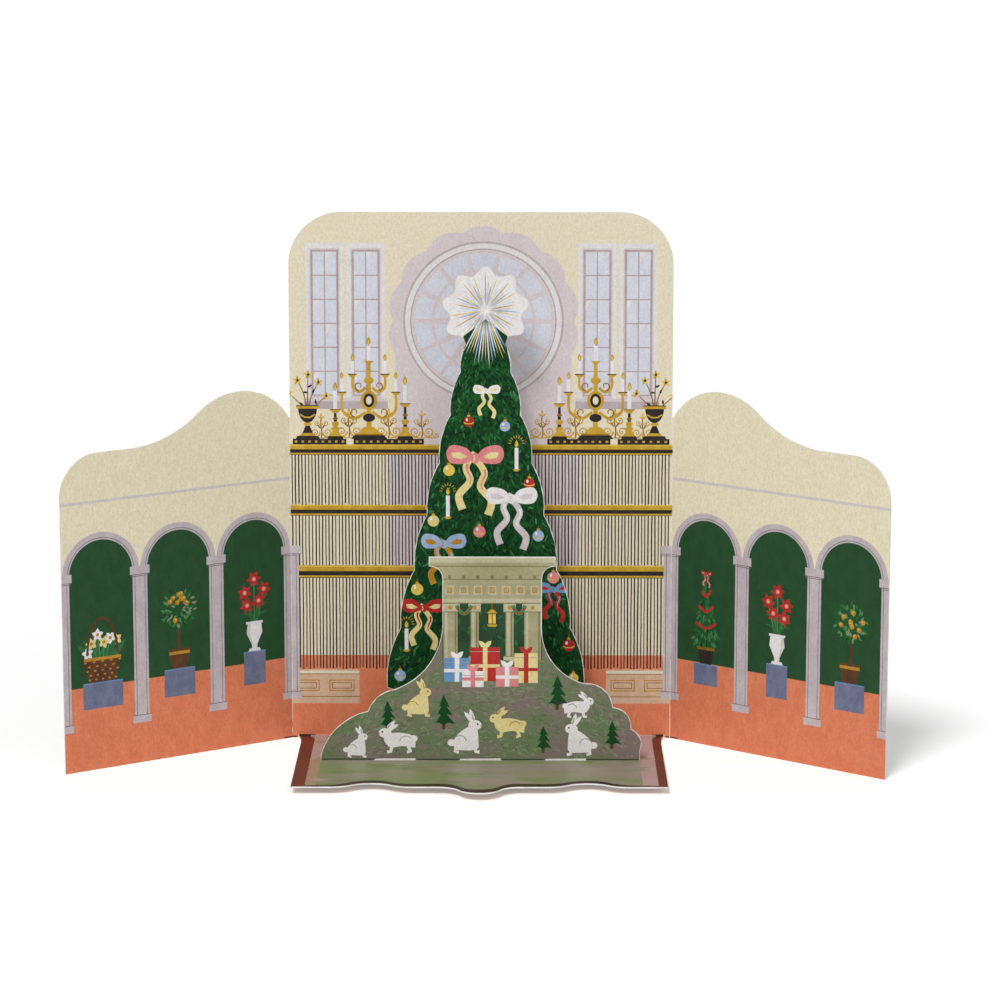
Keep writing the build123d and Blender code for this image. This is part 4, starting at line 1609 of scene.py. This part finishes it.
card_motif = [("cream", box(-200.0, 0.0, 200.0, 200.0))]
card_motif += draw_panel(rng)
card_motif += draw_wing(rng, -1, LEFT_FOLD, (red_lilies, round_tree, flower_basket))
card_motif += draw_wing(rng, 1, RIGHT_FOLD, (cone_tree, red_lilies, round_tree))
card_motif += draw_floor(rng)
card = make_sheet(
    "printed_card",
    [card_outline()],
    slit_loops(),
    card_creases(),
    card_motif,
    card_place,
    SHEET,
    card_finish,
    CARD_SPOTS,
    (sheet_print, plain_card, cut_edge, floor_print, tan_shade_card),
)
dress(card, "card_sheet")


def tab_loops(tabs, length):
    """Return the flat tabs below a layer's bottom edge."""
    return [box(x - TAB_WIDTH / 2, -length, x + TAB_WIDTH / 2, 0.0) for x in tabs]


def tab_creases(tabs, lines):
    """Return the lines along which a layer's tabs bend."""
    return [((x - TAB_WIDTH / 2, y), (x + TAB_WIDTH / 2, y)) for x in tabs for y in lines]


def layer_finish(x, y):
    """Return the one print material of a standing layer, which no fold wears."""
    return 0, 0.0


tree_place, tree_tab, tree_lines = layer_place(TREE_OFFSET, TREE_DISTANCE)
tree = make_sheet(
    "printed_tree",
    [tree_loop(), star_loop()] + tab_loops(TREE_TABS, tree_tab),
    [],
    tab_creases(TREE_TABS, tree_lines),
    draw_tree(rng),
    tree_place,
    LAYER,
    layer_finish,
    TREE_SPOTS,
    (tree_print, plain_card, cut_edge),
)
dress(tree, "tree_layer")

hill_place, hill_tab, hill_lines = layer_place(0.0, HILL_DISTANCE)
hill = make_sheet(
    "printed_hill",
    [hill_loop()] + tab_loops(HILL_TABS, hill_tab),
    [],
    tab_creases(HILL_TABS, hill_lines),
    draw_hill(rng),
    hill_place,
    LAYER,
    layer_finish,
    HILL_SPOTS,
    (hill_print, plain_card, cut_edge),
)
dress(hill, "hill_layer")

for name in ("tree_strut", "hill_strut_left", "hill_strut_right"):
    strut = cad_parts[name]
    strut.data.materials.clear()
    strut.data.materials.append(plain_card)


# Table, light and camera


def light_path_share(tree):
    """Return a socket that is 1 for what is seen straight on, mirrored or through glass, and 0 for light."""
    path = node(tree, "ShaderNodeLightPath")
    total = path.outputs["Is Camera Ray"]
    for other in ("Is Glossy Ray", "Is Transmission Ray"):
        add = node(tree, "ShaderNodeMath", operation="MAXIMUM")
        tree.links.new(total, add.inputs[0])
        tree.links.new(path.outputs[other], add.inputs[1])
        total = add.outputs["Value"]
    return total


def make_table(half_side, tone, lift):
    """Make the pale table. It adds an even lift to what is seen of it, and keeps shadows."""
    mesh = bpy.data.meshes.new("table")
    corners = [(x, y, 0) for x, y in box(-half_side, -half_side, half_side, half_side)]
    mesh.from_pydata(corners, [], [(0, 1, 2, 3)])
    table = add_object("table", mesh)
    material, tree, shader = new_material("table")
    shader.inputs["Base Color"].default_value = (tone, tone, tone, 1.0)
    shader.inputs["Roughness"].default_value = 1.0
    shader.inputs["Specular IOR Level"].default_value = 0.0
    shader.inputs["Emission Color"].default_value = (1.0, 1.0, 1.0, 1.0)
    strength = node(tree, "ShaderNodeMath", operation="MULTIPLY")
    strength.inputs[1].default_value = lift
    tree.links.new(light_path_share(tree), strength.inputs[0])
    tree.links.new(strength.outputs["Value"], shader.inputs["Emission Strength"])
    mesh.materials.append(material)


def make_world(ambient):
    """Make an even white room that is plain white where it is seen."""
    world = bpy.data.worlds.new("room")
    bpy.context.scene.world = world
    world.use_nodes = True
    tree = world.node_tree
    light = tree.nodes["Background"]
    light.inputs["Color"].default_value = (1.0, 1.0, 1.0, 1.0)
    light.inputs["Strength"].default_value = ambient
    seen = node(tree, "ShaderNodeBackground", Color=(1.0, 1.0, 1.0, 1.0), Strength=1.0)
    mix = node(tree, "ShaderNodeMixShader")
    tree.links.new(light_path_share(tree), mix.inputs["Fac"])
    tree.links.new(light.outputs["Background"], mix.inputs[1])
    tree.links.new(seen.outputs["Background"], mix.inputs[2])
    tree.links.new(mix.outputs["Shader"], tree.nodes["World Output"].inputs["Surface"])


def make_lamp(name, azimuth, elevation, energy, softness):
    """Make a soft distant lamp: azimuth is to the left of the view, all angles in degrees."""
    light = bpy.data.lights.new(name, "SUN")
    light.energy = energy
    light.angle = math.radians(softness)
    lamp = add_object(name, light)
    left, up = math.radians(azimuth), math.radians(elevation)
    towards = Vector((-math.sin(left) * math.cos(up), -math.cos(left) * math.cos(up), math.sin(up)))
    lamp.rotation_euler = towards.to_track_quat("Z", "Y").to_euler()


def make_camera(place, pitch, yaw, roll, focal_pixels, image_pixels=1000):
    """Make the camera: place in millimetres, angles in radians, pitch downwards."""
    data = bpy.data.cameras.new("camera")
    data.sensor_width = 36.0
    data.lens = focal_pixels / image_pixels * data.sensor_width
    data.clip_end = 100.0
    camera = add_object("camera", data)
    forward = Vector((math.sin(yaw) * math.cos(pitch), math.cos(yaw) * math.cos(pitch), -math.sin(pitch)))
    right = Vector((math.cos(yaw), -math.sin(yaw), 0.0))
    up = right.cross(forward)
    turned_right = right * math.cos(roll) + up * math.sin(roll)
    turned_up = up * math.cos(roll) - right * math.sin(roll)
    axes = Matrix((turned_right, turned_up, -forward)).transposed()
    camera.matrix_world = Matrix.Translation(Vector(place) * MM) @ axes.to_4x4()
    bpy.context.scene.camera = camera


make_table(half_side=12.0, tone=0.96, lift=0.225)
make_world(ambient=0.26)
make_lamp("key", azimuth=23.5, elevation=51.5, energy=1.95, softness=17.0)
make_lamp("fill", azimuth=-38.0, elevation=30.0, energy=0.47, softness=60.0)
make_camera(
    place=(12.984, -1205.426, 330.914), pitch=0.197536, yaw=-0.003948, roll=0.000436, focal_pixels=3807.0
)
bpy.context.scene.view_settings.view_transform = "Standard"
